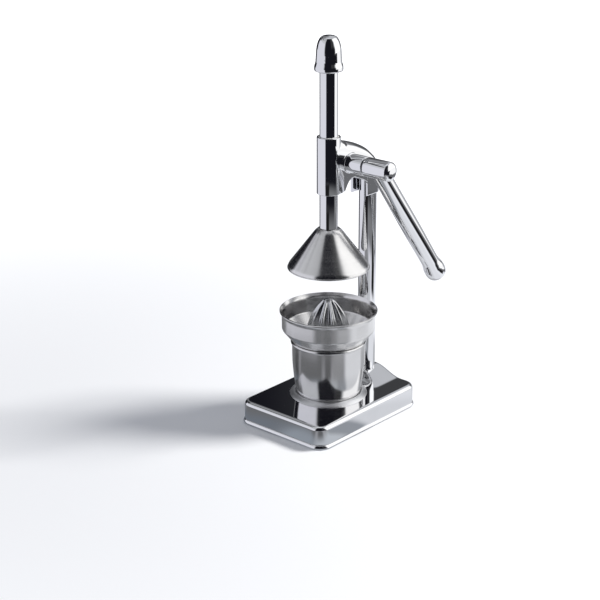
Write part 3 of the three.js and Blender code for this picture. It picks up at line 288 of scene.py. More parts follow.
FLOOR_PANELS_AND_PAINTED_SHADOW = [
    ("near", (78, 124, 4), (0.84, 9, 0.05), WHITE),
    ("near", (124, 150, 5), (0.8, 9, 0.05), grey(0.42)),
    ("far", (-26, -2, 5), (0.66, 9, 0.04), grey(0.3)),
    ("far", (-2, 50, 6), (0.34, 9, 0.06), grey(0.05)),
    ("near", (0, 76, 4), (0.47, 0.8, 0.05), grey(0.2)),
    ("near", (-33, 76, 2), (0.66, 9, 0.08), BLACK),
    ("near", (-33, 4, 4), (0.42, 0.72, 0.04), grey(0.012)),
    ("near", (76, 134, 4), (0.5, 0.84, 0.05), grey(0.15)),
    ("near", (100, 176, 8), (0.2, 0.42, 0.05), grey(0.92)),
    ("near", (54, 110, 9), (0.2, 0.34, 0.04), grey(0.85)),
    ("near", (68, 104, 4), (0.345, 0.58, 0.02), grey(0.015)),
    ("near", (20, 52, 8), (0.2, 0.42, 0.05), grey(0.55)),
    ("near", (-34, 20, 8), (0.2, 0.46, 0.06), grey(0.25)),
    # From here on, painted shadow of the press on the floor round its base, as the metal sees it
    ("far", (2, 60, 8), (0.02, 0.36, 0.04), grey(0.18)),
    ("near", (112, 178, 9), (0.02, 0.22, 0.03), grey(0.45)),
    ("near", (47, 112, 7), (0.02, 0.24, 0.03), grey(0.78)),
    ("near", (9, 47, 7), (0.02, 0.24, 0.03), grey(0.3)),
    ("near", (-14, 9, 7), (0.02, 0.24, 0.03), grey(0.13)),
    ("near", (-96, -14, 10), (0.02, 0.24, 0.03), grey(0.15)),
    ("near", (-126, -96, 10), (0.02, 0.24, 0.03), grey(0.08)),
    ("near", (52, 178, 7), (0.0, 0.11, 0.02), grey(0.68)),
    ("near", (24, 52, 7), (0.0, 0.11, 0.02), (0.3, 0.32, 0.35)),
    ("near", (-14, 24, 6), (0.0, 0.11, 0.02), (0.5, 0.53, 0.57)),
    ("near", (-50, -14, 12), (0.0, 0.11, 0.02), (0.28, 0.31, 0.35)),
    ("near", (-140, -50, 16), (0.0, 0.11, 0.02), (0.16, 0.18, 0.21)),
]

# Each lamp's place to the right, towards the camera and up, its size, its power and its colour
LAMPS = {
    "key_lamp": ((1.35, -0.2, 1.6), 0.55, 41.0, (1.0, 0.99, 0.97)),
    "fill_lamp": ((-0.9, 0.4, 1.9), 1.6, 5.0, (0.95, 0.97, 1.0)),
}
# Where the floor's own glow starts and is full, and its strength at both
FLOOR_GLOW = (0.2, 1.6, 0.02, 0.9)


# Lines and meshes
def softened(points, reach, steps=5):
    """The line with its inner corners rounded, each by at most the given reach."""
    line = [tuple(points[0])]
    for before, here, after in zip(points, points[1:], points[2:]):
        before, here, after = Vector(before), Vector(here), Vector(after)
        cut = min(reach, 0.45 * (before - here).length, 0.45 * (after - here).length)
        start = here + (before - here).normalized() * cut
        end = here + (after - here).normalized() * cut
        for k in range(steps + 1):
            t = k / steps
            line.append(tuple(start * (1 - t) ** 2 + here * 2 * t * (1 - t) + end * t * t))
    return line + [tuple(points[-1])]


def curved(points, steps=6, before=None, after=None):
    """A smooth line through the points. before and after steer its ends."""
    points = [Vector(p) for p in points]
    first = Vector(before) if before else points[0] * 2 - points[1]
    last = Vector(after) if after else points[-1] * 2 - points[-2]
    ends = [first, *points, last]
    line = []
    for a, b, c, d in zip(ends, ends[1:], ends[2:], ends[3:]):
        scale = (c - b).length
        into = (c - a) / max(scale + (b - a).length, NOTHING) * scale
        out = (d - b) / max((d - c).length + scale, NOTHING) * scale
        for k in range(steps):
            t = k / steps
            line.append(b * (2 * t ** 3 - 3 * t ** 2 + 1) + into * (t ** 3 - 2 * t ** 2 + t)
                        + c * (3 * t ** 2 - 2 * t ** 3) + out * (t ** 3 - t ** 2))
    return [tuple(p) for p in line] + [tuple(points[-1])]


def offset(line, thickness):
    """The line moved to its left by the thickness."""
    points = [Vector(p) for p in line]
    moved = []
    for before, here, after in zip([points[0], *points], points, [*points[1:], points[-1]]):
        along = ((after - here).normalized() + (here - before).normalized()).normalized()
        moved.append((max(here.x - along.y * thickness, 0.0), here.y + along.x * thickness))
    return moved


def sheet_loop(line, thickness):
    """The closed outline of a sheet whose outer line is given."""
    return line + offset(line, thickness)[::-1]


def scaled(shares, width, height, start=0.0):
    """Real points of shares of a width and of a height above the start."""
    return [(width * out, start + height * up) for out, up in shares]


def circle(radius, height, thickness, steps=16):
    """A round outline at the radius and height."""
    angles = [2 * math.pi * i / steps for i in range(steps)]
    return [(radius + thickness * math.cos(a), height + thickness * math.sin(a)) for a in angles]


def quarter_turn(steps):
    return [QUARTER * i / steps for i in range(steps + 1)]


def value_at(pairs, place):
    """The second number of the pairs at a place along the first, with straight lines in between."""
    for (a, at_a), (b, at_b) in zip(pairs, pairs[1:]):
        if a <= place <= b:
            return at_a + (at_b - at_a) * (place - a) / max(b - a, NOTHING)
    return pairs[0][1] if place < pairs[0][0] else pairs[-1][1]


def shaded(mesh, sharp):
    mesh.shade_smooth()
    mesh.set_sharp_from_angle(angle=math.radians(sharp))
    return mesh


def mesh_of(form, name, matrix=None, sharp=SHARP):
    """A plain mesh with outward faces, smooth but for edges sharper than the given degrees."""
    bmesh.ops.remove_doubles(form, verts=form.verts, dist=NOTHING)
    bmesh.ops.dissolve_degenerate(form, edges=form.edges, dist=NOTHING / 10)
    bmesh.ops.recalc_face_normals(form, faces=form.faces)
    if matrix is not None:
        bmesh.ops.transform(form, matrix=matrix, verts=form.verts)
    mesh = bpy.data.meshes.new(name)
    form.to_mesh(mesh)
    form.free()
    return shaded(mesh, sharp)


def spun(form, line, segments=TURN, closed=False):
    """Adds the surface of a line of (radius, height) points turned about Z."""
    angles = [2 * math.pi * i / segments for i in range(segments)]
    rings = []
    for radius, height in line:
        places = [(radius * math.cos(a), radius * math.sin(a), height) for a in angles]
        rings.append([form.verts.new(p) for p in (places if radius >= NOTHING else [(0, 0, height)])])
    pairs = list(zip(rings, rings[1:])) + ([(rings[-1], rings[0])] if closed else [])
    for a, b in pairs:
        for i in range(segments):
            j = (i + 1) % segments
            corners = [a[i % len(a)], a[j % len(a)], b[j % len(b)], b[i % len(b)]]
            corners = [c for k, c in enumerate(corners) if c not in corners[:k]]
            if len(corners) > 2:
                form.faces.new(corners)


def turned_mesh(name, *outlines, segments=TURN, matrix=None, sharp=SHARP):
    """One mesh of outlines: solid where both ends are on the axis, otherwise closed on themselves."""
    form = bmesh.new()
    for line in outlines:
        part = bmesh.new()
        spun(part, line, segments, closed=line[0][0] > NOTHING or line[-1][0] > NOTHING)
        bmesh.ops.recalc_face_normals(part, faces=part.faces)
        kept = bpy.data.meshes.new("part")
        part.to_mesh(kept)
        part.free()
        form.from_mesh(kept)
        bpy.data.meshes.remove(kept)
    return mesh_of(form, name, matrix, sharp)


def lofted_mesh(name, rings, sharp=SHARP):
    """A closed mesh through rings of equally many points, with a fan at each end."""
    form = bmesh.new()
    made = [[form.verts.new(p) for p in ring] for ring in rings]
    count = len(rings[0])
    for a, b in zip(made, made[1:]):
        for i in range(count):
            j = (i + 1) % count
            form.faces.new((a[i], a[j], b[j], b[i]))
    for ring in (made[0], made[-1]):
        centre = form.verts.new(sum((v.co for v in ring), Vector()) / count)
        for i in range(count):
            form.faces.new((ring[i], ring[(i + 1) % count], centre))
    return mesh_of(form, name, sharp=sharp)


def box_mesh(name, corner, opposite):
    form = bmesh.new()
    bmesh.ops.create_cube(form, size=1.0)
    corner, opposite = Vector(corner), Vector(opposite)
    place = Matrix.Translation((corner + opposite) / 2) @ Matrix.Diagonal((*(opposite - corner), 1.0))
    bmesh.ops.transform(form, matrix=place, verts=form.verts)
    return mesh_of(form, name)


def rod_mesh(name, radius, start, end, matrix=None, segments=64):
    line = [(0, start), (radius, start), (radius, end), (0, end)]
    return turned_mesh(name, line, segments=segments, matrix=matrix)


def combined(name, meshes):
    """One mesh of several, each kept as its own shell."""
    form = bmesh.new()
    for mesh in meshes:
        form.from_mesh(mesh)
        bpy.data.meshes.remove(mesh)
    whole = bpy.data.meshes.new(name)
    form.to_mesh(whole)
    form.free()
    return whole


def linked(name, data):
    """A new object of the data in the scene."""
    thing = bpy.data.objects.new(name, data)
    bpy.context.scene.collection.objects.link(thing)
    return thing


def settled(thing):
    """A plain mesh of the object as its modifiers leave it."""
    return bpy.data.meshes.new_from_object(thing.evaluated_get(bpy.context.evaluated_depsgraph_get()))


def carved(mesh, cutters, sharp=SHARP):
    """The mesh with the cutters taken away."""
    body = linked("carving", mesh)
    tools = [linked("tool", cutter) for cutter in cutters]
    for tool in tools:
        step = body.modifiers.new("cut", "BOOLEAN")
        step.operation, step.solver, step.object = "DIFFERENCE", "EXACT", tool
    result = settled(body)
    for thing in [body, *tools]:
        data = thing.data
        bpy.data.objects.remove(thing)
        bpy.data.meshes.remove(data)
    return shaded(result, sharp)


def placed(name, mesh, finish, body, slot_name, *nodes):
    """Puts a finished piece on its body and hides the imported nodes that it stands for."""
    mesh.name = name
    mesh.materials.clear()
    mesh.materials.append(shared[finish])
    piece = linked(name, mesh)
    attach(piece, body)
    if nodes:
        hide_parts(*nodes)


# Nodes
def wire(tree, node, inputs):
    """Feeds a node's inputs, given by name or number, with values or with other nodes' outputs."""
    for key, value in inputs.items():
        if isinstance(value, bpy.types.NodeSocket):
            tree.links.new(value, node.inputs[key])
        else:
            node.inputs[key].default_value = value


def add(tree, kind, inputs=None, **settings):
    made = tree.nodes.new(kind)
    for key, value in settings.items():
        setattr(made, key, value)
    wire(tree, made, inputs or {})
    return made


def calc(tree, operation, *values):
    return add(tree, "ShaderNodeMath", dict(enumerate(values)), operation=operation).outputs[0]


def times(tree, a, b):
    return calc(tree, "MULTIPLY", a, b)


def out_from_axis(tree, x, y):
    squares = calc(tree, "ADD", times(tree, x, x), times(tree, y, y))
    return calc(tree, "SQRT", squares)


def ramped(tree, value, start, end, at_start=0.0, at_end=1.0):
    values = dict(enumerate((value, start, end, at_start, at_end)))
    return add(tree, "ShaderNodeMapRange", values, interpolation_type="SMOOTHSTEP").outputs[0]


def between(tree, value, start, end, soft):
    return times(tree, ramped(tree, value, start - soft, start + soft),
                 ramped(tree, value, end - soft, end + soft, 1.0, 0.0))


def mixed(tree, factor, a, b):
    return add(tree, "ShaderNodeMix", {0: factor, 6: a, 7: b}, data_type="RGBA").outputs[2]


def noise(tree, where, scale, detail, roughness=0.5):
    inputs = {"Vector": where, "Scale": scale, "Detail": detail, "Roughness": roughness}
    return add(tree, "ShaderNodeTexNoise", inputs).outputs["Fac"]


def bumped(tree, height, distance):
    return add(tree, "ShaderNodeBump", {"Height": height, "Distance": distance, "Strength": 1.0}).outputs[0]


def split_up(tree, vector):
    return add(tree, "ShaderNodeSeparateXYZ", {0: vector}).outputs


def floats(*labels):
    return [(label, "Float") for label in labels]


def group(name, kind, inputs, outputs):
    """A new node group, its inputs and its output node. A socket is a label, a type and maybe a default."""
    tree = bpy.data.node_groups.new(name, kind)
    for direction, sockets in (("INPUT", inputs), ("OUTPUT", outputs)):
        for label, holds, *default in sockets:
            socket = tree.interface.new_socket(label, in_out=direction, socket_type="NodeSocket" + holds)
            if default:
                socket.default_value = default[0]
    return tree, add(tree, "NodeGroupInput").outputs, add(tree, "NodeGroupOutput")


# Finishes
def turning_marks():
    """Fine rings left by turning or brushing about Z, as a height and as a streak mask."""
    tree, given, end = group(
        "turning marks", "ShaderNodeTree",
        [("Vector", "Vector"), ("Rings per Metre", "Float", 2600.0), ("Breaks", "Float", 0.5)],
        floats("Height", "Streaks"))
    x, y, z = split_up(tree, given["Vector"])
    radius = out_from_axis(tree, x, y)
    breaks = calc(tree, "DIVIDE", given["Breaks"], calc(tree, "ADD", radius, 0.004))
    along = calc(tree, "ADD", times(tree, z, 0.8), times(tree, radius, -0.6))
    place = add(tree, "ShaderNodeCombineXYZ", {
        0: times(tree, x, breaks),
        1: times(tree, y, breaks),
        2: times(tree, along, given["Rings per Metre"]),
    }).outputs[0]
    streaks = ramped(tree, noise(tree, place, 0.12, 2.0), 0.35, 0.65)
    wire(tree, end, {"Height": noise(tree, place, 1.0, 3.0), "Streaks": streaks})
    return tree


def handling():
    """Faint smudges and settled dust from use, as masks."""
    tree, given, end = group("handling marks", "ShaderNodeTree",
                             [("Vector", "Vector"), ("Size", "Float", 0.03)], floats("Smudges", "Dust"))
    scale = calc(tree, "DIVIDE", 1.0, given["Size"])
    smudges = noise(tree, given["Vector"], scale, 4.0, 0.6)
    specks = noise(tree, given["Vector"], times(tree, scale, 40.0), 2.0)
    wire(tree, end, {"Smudges": ramped(tree, smudges, 0.45, 0.75), "Dust": ramped(tree, specks, 0.62, 0.8)})
    return tree


def worn_material(name):
    """A new material with its shader, its object coordinates and its marks of handling."""
    material = bpy.data.materials.new(name)
    material.use_nodes = True
    tree = material.node_tree
    where = add(tree, "ShaderNodeTexCoord").outputs["Object"]
    worn = add(tree, "ShaderNodeGroup", {"Vector": where}, node_tree=shared["handling"]).outputs
    return material, tree, tree.nodes["Principled BSDF"], where, worn


def metal(name, base, rough, rough_smudged, marks=0.0, depth=0.0, anisotropy=0.0, grain=0.0):
    """A bare metal: smudged, and with turning marks or grain where it has them."""
    material, tree, shader, where, worn = worn_material(name)
    roughness = ramped(tree, worn["Smudges"], 0.0, 1.0, rough, rough_smudged)
    dimmed = [c * 0.9 for c in base]
    tint = mixed(tree, times(tree, worn["Smudges"], 0.25), (*base, 1.0), (*dimmed, 1.0))
    if anisotropy:
        around = add(tree, "ShaderNodeTangent", direction_type="RADIAL", axis="Z").outputs[0]
        wire(tree, shader, {"Anisotropic": anisotropy, "Anisotropic Rotation": 0.25, "Tangent": around})
    if marks:
        turning = add(tree, "ShaderNodeGroup", {"Vector": where}, node_tree=shared["turning"]).outputs
        roughness = calc(tree, "ADD", roughness, times(tree, turning["Streaks"], marks))
        wire(tree, shader, {"Normal": bumped(tree, turning["Height"], depth)})
    elif grain:
        wire(tree, shader, {"Normal": bumped(tree, noise(tree, where, 900.0, 4.0), grain)})
    wire(tree, shader, {"Metallic": 1.0, "Roughness": roughness, "Base Color": tint})
    return material


def moulding(name, base, rough, grain):
    """A moulded nylon or rubber with a fine grain."""
    material, tree, shader, where, worn = worn_material(name)
    dusty = [min(c * 1.3 + 0.02, 1.0) for c in base]
    wire(tree, shader, {
        "Base Color": mixed(tree, worn["Dust"], (*base, 1.0), (*dusty, 1.0)),
        "Roughness": ramped(tree, worn["Smudges"], 0.0, 1.0, rough, rough * 0.8),
        "Normal": bumped(tree, noise(tree, where, 1400.0, 3.0), grain),
    })
    return material


class PRESS_OT_finishes(bpy.types.Operator):
    """Make the metals, the nylons and the rubber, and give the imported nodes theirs"""
    bl_idname = "press.finishes"
    bl_label = "Finishes"

    def execute(self, context):
        tones = context.scene.press_finishes
        shared["handling"] = handling()
        shared["turning"] = turning_marks()
        shared["chrome"] = metal("chrome", tones.chrome, 0.03, 0.06)
        shared["seat"] = metal("seat_steel", tones.chrome, 0.38, 0.42)
        shared["satin"] = metal("satin_steel", tones.satin, 0.2, 0.23, marks=0.03, depth=0.000003,
                                anisotropy=0.8)
        shared["polished"] = metal("polished_steel", tones.polished, 0.12, 0.14, marks=0.02, depth=0.000001,
                                   anisotropy=0.6)
        shared["plain"] = metal("plain_steel", tones.plain, 0.38, 0.48, grain=0.00001)
        shared["hard"] = metal("hard_steel", tones.hard, 0.28, 0.36, grain=0.000008)
        shared["cast"] = metal("cast_alloy", tones.cast, 0.24, 0.32, grain=0.00003)
        shared["white_nylon"] = moulding("white_nylon", tones.white_nylon, 0.42, 0.00001)
        shared["dark_nylon"] = moulding("dark_nylon", tones.dark_nylon, 0.45, 0.00001)
        shared["rubber"] = moulding("black_rubber", tones.rubber, 0.75, 0.00003)
        for finish, nodes in DRESSED.items():
            for node in nodes:
                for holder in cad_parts[node].material_slots:
                    holder.material = shared[finish]
        return {"FINISHED"}


# Geometry Nodes
def geometry_tree(name, inputs):
    return group(name, "GeometryNodeTree", [("Geometry", "Geometry"), ("Material", "Material"), *inputs],
                 [("Geometry", "Geometry")])


def closed_tree(tree, geometry, given, end):
    """The tree with its instances realised and its material set, as its last steps."""
    real = add(tree, "GeometryNodeRealizeInstances", {0: geometry}).outputs[0]
    inputs = {"Geometry": real, "Material": given["Material"]}
    wire(tree, end, {0: add(tree, "GeometryNodeSetMaterial", inputs).outputs[0]})
    return tree


def cylinder(tree, vertices, radius, depth):
    inputs = {"Vertices": vertices, "Radius": radius, "Depth": depth}
    return add(tree, "GeometryNodeMeshCylinder", inputs).outputs["Mesh"]


def lifted(tree, geometry, height):
    rise = add(tree, "ShaderNodeCombineXYZ", {2: height}).outputs[0]
    return add(tree, "GeometryNodeTransform", {"Geometry": geometry, "Translation": rise}).outputs[0]


def cut_away(tree, body, tool):
    return add(tree, "GeometryNodeMeshBoolean", {"Mesh 1": body, "Mesh 2": tool}, operation="DIFFERENCE",
               solver="EXACT").outputs[0]


def grown(mesh, tree, finish, sharp=SHARP, **values):
    """The plain mesh that the tree makes of the given one."""
    values["material"] = shared[finish]
    holder = linked("growing", mesh)
    step = holder.modifiers.new("nodes", "NODES")
    step.node_group = tree
    for item in tree.interface.items_tree:
        key = item.name.replace(" ", "_").lower()
        if item.item_type == "SOCKET" and item.in_out == "INPUT" and key in values:
            step[item.identifier] = values[key]
    result = settled(holder)
    holder.modifiers.remove(step)
    bpy.data.objects.remove(holder)
    bpy.data.meshes.remove(mesh)
    return shaded(result, sharp)


def juice_hole_tree():
    """Cuts a ring of round holes through the floor of the strainer."""
    tree, given, end = geometry_tree("juice holes", [
        ("Count", "Int"), *floats("Radius", "Circle", "Height", "Depth")])
    inputs = {"Vertices": given["Count"], "Radius": given["Circle"]}
    ring = add(tree, "GeometryNodeMeshCircle", inputs).outputs[0]
    drill = cylinder(tree, 16, given["Radius"], given["Depth"])
    spread = add(tree, "GeometryNodeInstanceOnPoints",
                 {"Points": lifted(tree, ring, given["Height"]), "Instance": drill}).outputs[0]
    drills = add(tree, "GeometryNodeRealizeInstances", {0: spread}).outputs[0]
    return closed_tree(tree, cut_away(tree, given["Geometry"], drills), given, end)


def rib_tree():
    """Draws the flutes of the reamer in between its ribs."""
    tree, given, end = geometry_tree("reamer ribs", [("Ribs", "Int"), ("Sharpness", "Float")])
    x, y, z = split_up(tree, add(tree, "GeometryNodeInputPosition").outputs[0])
    wave = calc(tree, "COSINE", times(tree, calc(tree, "ARCTAN2", y, x), given["Ribs"]))
    ridge = calc(tree, "POWER", calc(tree, "MULTIPLY_ADD", wave, 0.5, 0.5), given["Sharpness"])
    swell = add(tree, "GeometryNodeInputNamedAttribute", {"Name": "swell"}, data_type="FLOAT")
    depth = times(tree, swell.outputs["Attribute"], calc(tree, "SUBTRACT", 1.0, ridge))
    pull = calc(tree, "SUBTRACT", 1.0, times(tree, depth, 2.0))
    place = add(tree, "ShaderNodeCombineXYZ",
                {0: times(tree, x, pull), 1: times(tree, y, pull), 2: z}).outputs[0]
    inputs = {"Geometry": given["Geometry"], "Position": place}
    return closed_tree(tree, add(tree, "GeometryNodeSetPosition", inputs).outputs[0], given, end)


def fastener_tree():
    """Puts a screw with a six-sided recess below every point, turned as asked."""
    tree, given, end = geometry_tree("fasteners", [
        *floats("Head Radius", "Head Height", "Shank Radius", "Shank Length", "Recess Radius"),
        ("Turn", "Vector")])
    head_height, shank_length = given["Head Height"], given["Shank Length"]
    head = lifted(tree, cylinder(tree, 32, given["Head Radius"], head_height),
                  times(tree, head_height, -0.5))
    recess = cylinder(tree, 6, given["Recess Radius"], times(tree, head_height, 1.3))
    shank_centre = calc(tree, "SUBTRACT", times(tree, shank_length, -0.5), times(tree, head_height, 0.99))
    shank = lifted(tree, cylinder(tree, 24, given["Shank Radius"], shank_length), shank_centre)
    screw = add(tree, "GeometryNodeJoinGeometry")
    for part in (cut_away(tree, head, recess), shank):
        wire(tree, screw, {0: part})
    spread = add(tree, "GeometryNodeInstanceOnPoints", {
        "Points": add(tree, "GeometryNodeMeshToPoints", {"Mesh": given["Geometry"]}).outputs[0],
        "Instance": screw.outputs[0],
        "Rotation": add(tree, "FunctionNodeEulerToRotation", {0: given["Turn"]}).outputs[0],
    }).outputs[0]
    return closed_tree(tree, spread, given, end)


def fasteners(places, finish, lean, **sizes):
    """A mesh of equal screws at the places, leaning about X."""
    if "fasteners" not in shared:
        shared["fasteners"] = fastener_tree()
    points = bpy.data.meshes.new("places")
    points.from_pydata([tuple(p) for p in places], [], [])
    return grown(points, shared["fasteners"], finish, sharp=30, turn=(lean, 0.0, 0.0), **sizes)


# Base
def pad_outline(base, inset, corner_steps=12, side_steps=(110, 76, 60, 76)):
    """The base's outline seen from above, drawn in by the inset."""
    corner = max(base.corner - inset, base.corner / 5)
    half, front, back = base.half_width - inset, base.front - inset, base.back - inset
    centres = [(1, back - corner), (-1, back - corner), (-1, corner - front), (1, corner - front)]
    arcs = [[(side * (half - corner) + corner * math.cos(a), y + corner * math.sin(a))
             for a in (QUARTER * (quarter + i / corner_steps) for i in range(corner_steps + 1))]
            for quarter, (side, y) in enumerate(centres)]
    points = []
    for quarter, arc in enumerate(arcs):
        start, end = Vector(arc[-1]), Vector(arcs[(quarter + 1) % 4][0])
        steps = side_steps[quarter]
        points += arc + [tuple(start.lerp(end, i / steps)) for i in range(1, steps)]
    return points


def smooth_step(start, end, value):
    t = min(max((value - start) / (end - start), 0.0), 1.0)
    return t * t * (3 - 2 * t)


def mound(base, x, y, mount_y):
    """How far the top rises towards the column."""
    across = math.cos(QUARTER * min(abs(x) / base.mound_half_width, 1)) ** 2
    along = smooth_step(mount_y - base.mound_ramp, mount_y, y)
    beside = smooth_step(base.seat_outer, base.seat_outer + base.mound_blend, math.hypot(x, y))
    return base.mound_height * across * along * beside


class PRESS_OT_base(bpy.types.Operator):
    """Build the pressed base with its lip and mound, the ring round the cup's seat and the plate's screws"""
    bl_idname = "press.base"
    bl_label = "Base"

    def execute(self, context):
        base = context.scene.press_base
        mount_y = low("column_tube").y
        top_rings, top_reach, edge_steps = 92, 0.94, 10

        def top_ring(inset, drop):
            return [(x, y, base.top + mound(base, x, y, mount_y) - drop) for x, y in pad_outline(base, inset)]

        def level_ring(inset, z):
            return [(x, y, z) for x, y in pad_outline(base, inset)]

        def rounding(radius, start):
            return [(start + radius * (1 - math.sin(a)), start + radius * (1 - math.cos(a)))
                    for a in quarter_turn(edge_steps)]

        reach = base.half_width * top_reach - base.edge
        insets = [base.edge + reach * (1 - i / top_rings) for i in range(top_rings)]
        wall_low = base.lip_clearance + base.lip_rise
        wall_height = base.top - base.edge - wall_low
        lip = scaled(curved([LIP_LEAD, *LIP], 4)[4:], base.lip_flare, base.lip_rise, base.lip_clearance)
        outer = [top_ring(inset, 0.0) for inset in insets]
        outer += [top_ring(inset, drop) for inset, drop in rounding(base.edge, 0.0)]
        outer += [level_ring(0.0, wall_low + wall_height * share) for share in (0.3, 0.1)]
        outer += [level_ring(-out, z) for out, z in lip]
        inner = [level_ring(base.sheet, base.lip_clearance)]
        inner += [top_ring(inset, drop) for inset, drop in rounding(base.edge - base.sheet, base.sheet)[::-1]]
        inner += [top_ring(inset, base.sheet) for inset in insets[::-4] if inset > base.edge + 0.001]
        pan = lofted_mesh("pan", outer + inner, sharp=50)
        placed("base_shell", pan, "chrome", "stand", "chrome", "base_pan")

        buried = base.top - base.sheet / 2
        arc = scaled(curved(SEAT, 5), base.seat_outer - base.seat_inner, base.seat_height, base.top)
        arc = [(base.seat_inner + out, z) for out, z in arc]
        ring = turned_mesh("ring", [(base.seat_inner, buried), *arc, (base.seat_outer, buried)])
        placed("seat_ring", ring, "seat", "stand", "satin_steel")

        names = [f"plate_screw_{i}" for i in (1, 2, 3, 4)]
        screw_low, screw_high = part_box(names[0])
        places = [(middle(name).x, middle(name).y, screw_low.z) for name in names]
        shank_length = screw_high.z - screw_low.z - PLATE_SCREW["head_height"]
        screws = fasteners(places, "plain", math.pi, shank_length=shank_length, **PLATE_SCREW)
        placed("plate_screws", screws, "plain", "stand", "plain_steel", *names)
        return {"FINISHED"}


class PRESS_OT_column(bpy.types.Operator):
    """Build the column tube behind the cup"""
    bl_idname = "press.column"
    bl_label = "Column"

    def execute(self, context):
        bottom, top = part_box("column_tube")
        radius = (top.x - bottom.x) / 2
        bore = radius - context.scene.press_base.column_wall
        tube = turned_mesh("tube", [(bore, bottom.z), (radius, bottom.z), (radius, top.z), (bore, top.z)],
                           matrix=Matrix.Translation((0, middle("column_tube").y, 0)))
        placed("column", tube, "chrome", "stand", "chrome", "column_tube")
        return {"FINISHED"}


def hub_axis():
    """The frame of what turns about the lever's axis: its Z runs along the shaft."""
    hub = middle("lever_hub")
    return Matrix.Translation((0, hub.y, hub.z)) @ Matrix.Rotation(QUARTER, 4, "Y")


def arm_section(head, y, half, top_z, low_z):
    """The arm's outline across, with its rounded top and its lower edges."""
    radius = min(head.arm_edge, half * 0.9)
    foot = min(head.arm_foot, half * 0.3)
    right = [(half - foot + foot * math.sin(a), low_z + foot - foot * math.cos(a)) for a in quarter_turn(4)]
    right += [(half - radius + radius * math.cos(a), top_z - radius + radius * math.sin(a))
              for a in quarter_turn(14)]
    return [(x, y, z) for x, z in right] + [(-x, y, z) for x, z in right[::-1]]


def arm_body(head, bottom, top, sleeve_low):
    """The arm from the sleeve over the column, its underside following the arch and the skirt."""
    column_y = middle("column_tube").y
    skirt_front = column_y - head.skirt_depth
    half_width = head.arm_half_width
    crown = curved(scaled(CROWN, column_y, -head.arm_drop, top.z), 7)
    crown_end = scaled(CROWN_END, half_width, -head.arm_drop, top.z)
    crown_end = curved([(column_y + out, z) for out, z in crown_end], 7)
    stations = [(y, sleeve_low) for y in SLEEVE_STATIONS]
    stations += curved(scaled(ARCH, skirt_front, head.arch_rise, sleeve_low), 6)
    stations += [(skirt_front + SLIVER, bottom.z)]
    stations += [(skirt_front + (column_y - skirt_front) * share, bottom.z) for share in SKIRT_STATIONS]
    rings = []
    for y, low_z in stations:
        share = y / column_y
        half = (head.sleeve_radius - GAP) * (1 - share) + half_width * share
        near = max(1 - max(y - head.sleeve_radius, 0.0) / (2.5 * head.root_fillet), 0.0) ** 2
        rings.append(arm_section(head, y, half, value_at(crown, y) + head.root_fillet * near, low_z))
    for a in quarter_turn(18):
        y, half = column_y + half_width * math.sin(a), max(half_width * math.cos(a), GAP)
        rings.append(arm_section(head, y, half, value_at(crown_end, y), bottom.z))
    return lofted_mesh("arm", rings, sharp=42)


def boss(head, lever, bush_radius, end):
    """The round boss that the lever's shaft runs in, with a fillet at its root."""
    radius, edge, fillet = lever.hub_radius, head.boss_edge, head.root_fillet
    wall, start = head.arm_half_width, head.arm_half_width - SUNK
    root = [(radius + fillet, start), (radius + fillet, wall - SLIVER)]
    root += [(radius + fillet * (1 - math.sin(a)), wall + fillet * (1 - math.cos(a)))
             for a in quarter_turn(8)[1:]]
    outline = [(bush_radius, start), *root, (radius, end - edge), (radius - edge * 0.3, end - edge * 0.3),
               (radius - edge, end), (bush_radius, end)]
    return turned_mesh("boss", outline, matrix=hub_axis())


class PRESS_OT_head(bpy.types.Operator):
    """Build the cast head: the sleeve, the arched arm with its skirt, the boss and the two set screws"""
    bl_idname = "press.head"
    bl_label = "Head"

    def execute(self, context):
        head, lever = context.scene.press_head, context.scene.press_lever
        bottom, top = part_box("head_casting")
        hub, column_y = middle("lever_hub"), middle("column_tube").y
        sleeve_low = low("lower_guide_bush").z - GAP
        gear_low, gear_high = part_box("pinion_gear")
        chamber = (gear_high.z - gear_low.z) / 2 + head.gear_room
        chamber_half = gear_high.x + head.gear_side
        bush_radius = (high("near_shaft_bush").y - low("near_shaft_bush").y) / 2 + SLIVER
        socket = (high("column_tube").x - low("column_tube").x) / 2 + GAP
        socket_place = Matrix.Translation((0, column_y, 0))
        under, over = bottom.z - OVERRUN, top.z + OVERRUN
        mouth_front = column_y - head.skirt_depth - head.mouth_depth
        mouth_top = sleeve_low + head.mouth_rise
        inner = head.sleeve_radius - head.sleeve_wall

        def chamber_tool():
            return rod_mesh("chamber", chamber, -chamber_half, chamber_half, hub_axis())

        arm = carved(arm_body(head, bottom, top, sleeve_low), [
            rod_mesh("bore", inner + SLIVER, under, over, segments=96),
            chamber_tool(),
            box_mesh("well", (-chamber_half, head.well_start, under), (chamber_half, hub.y + chamber, hub.z)),
            rod_mesh("bushes", bush_radius, -head.arm_half_width - OVERRUN, top.x + OVERRUN, hub_axis()),
            rod_mesh("socket", socket, under, high("column_tube").z + GAP, socket_place, 96),
            box_mesh("mouth", (-socket, mouth_front, under), (socket, column_y, mouth_top)),
        ], sharp=42)
        wall = softened([(inner, sleeve_low), (head.sleeve_radius, sleeve_low), (head.sleeve_radius, top.z),
                         (inner, top.z)], head.sleeve_edge, 6)
        sleeve = carved(turned_mesh("sleeve", wall), [chamber_tool()])
        shell = combined("head_shell", [arm, sleeve, boss(head, lever, bush_radius, top.x)])
        placed("head_shell", shell, "chrome", "stand", "chrome", "head_casting")

        names = ("head_set_screw_1", "head_set_screw_2")
        places = [(0, high(name).y, middle(name).z) for name in names]
        screws = fasteners(places, "hard", -QUARTER, **SET_SCREW)
        placed("head_set_screws", screws, "hard", "stand", "hard_steel", *names)
        return {"FINISHED"}


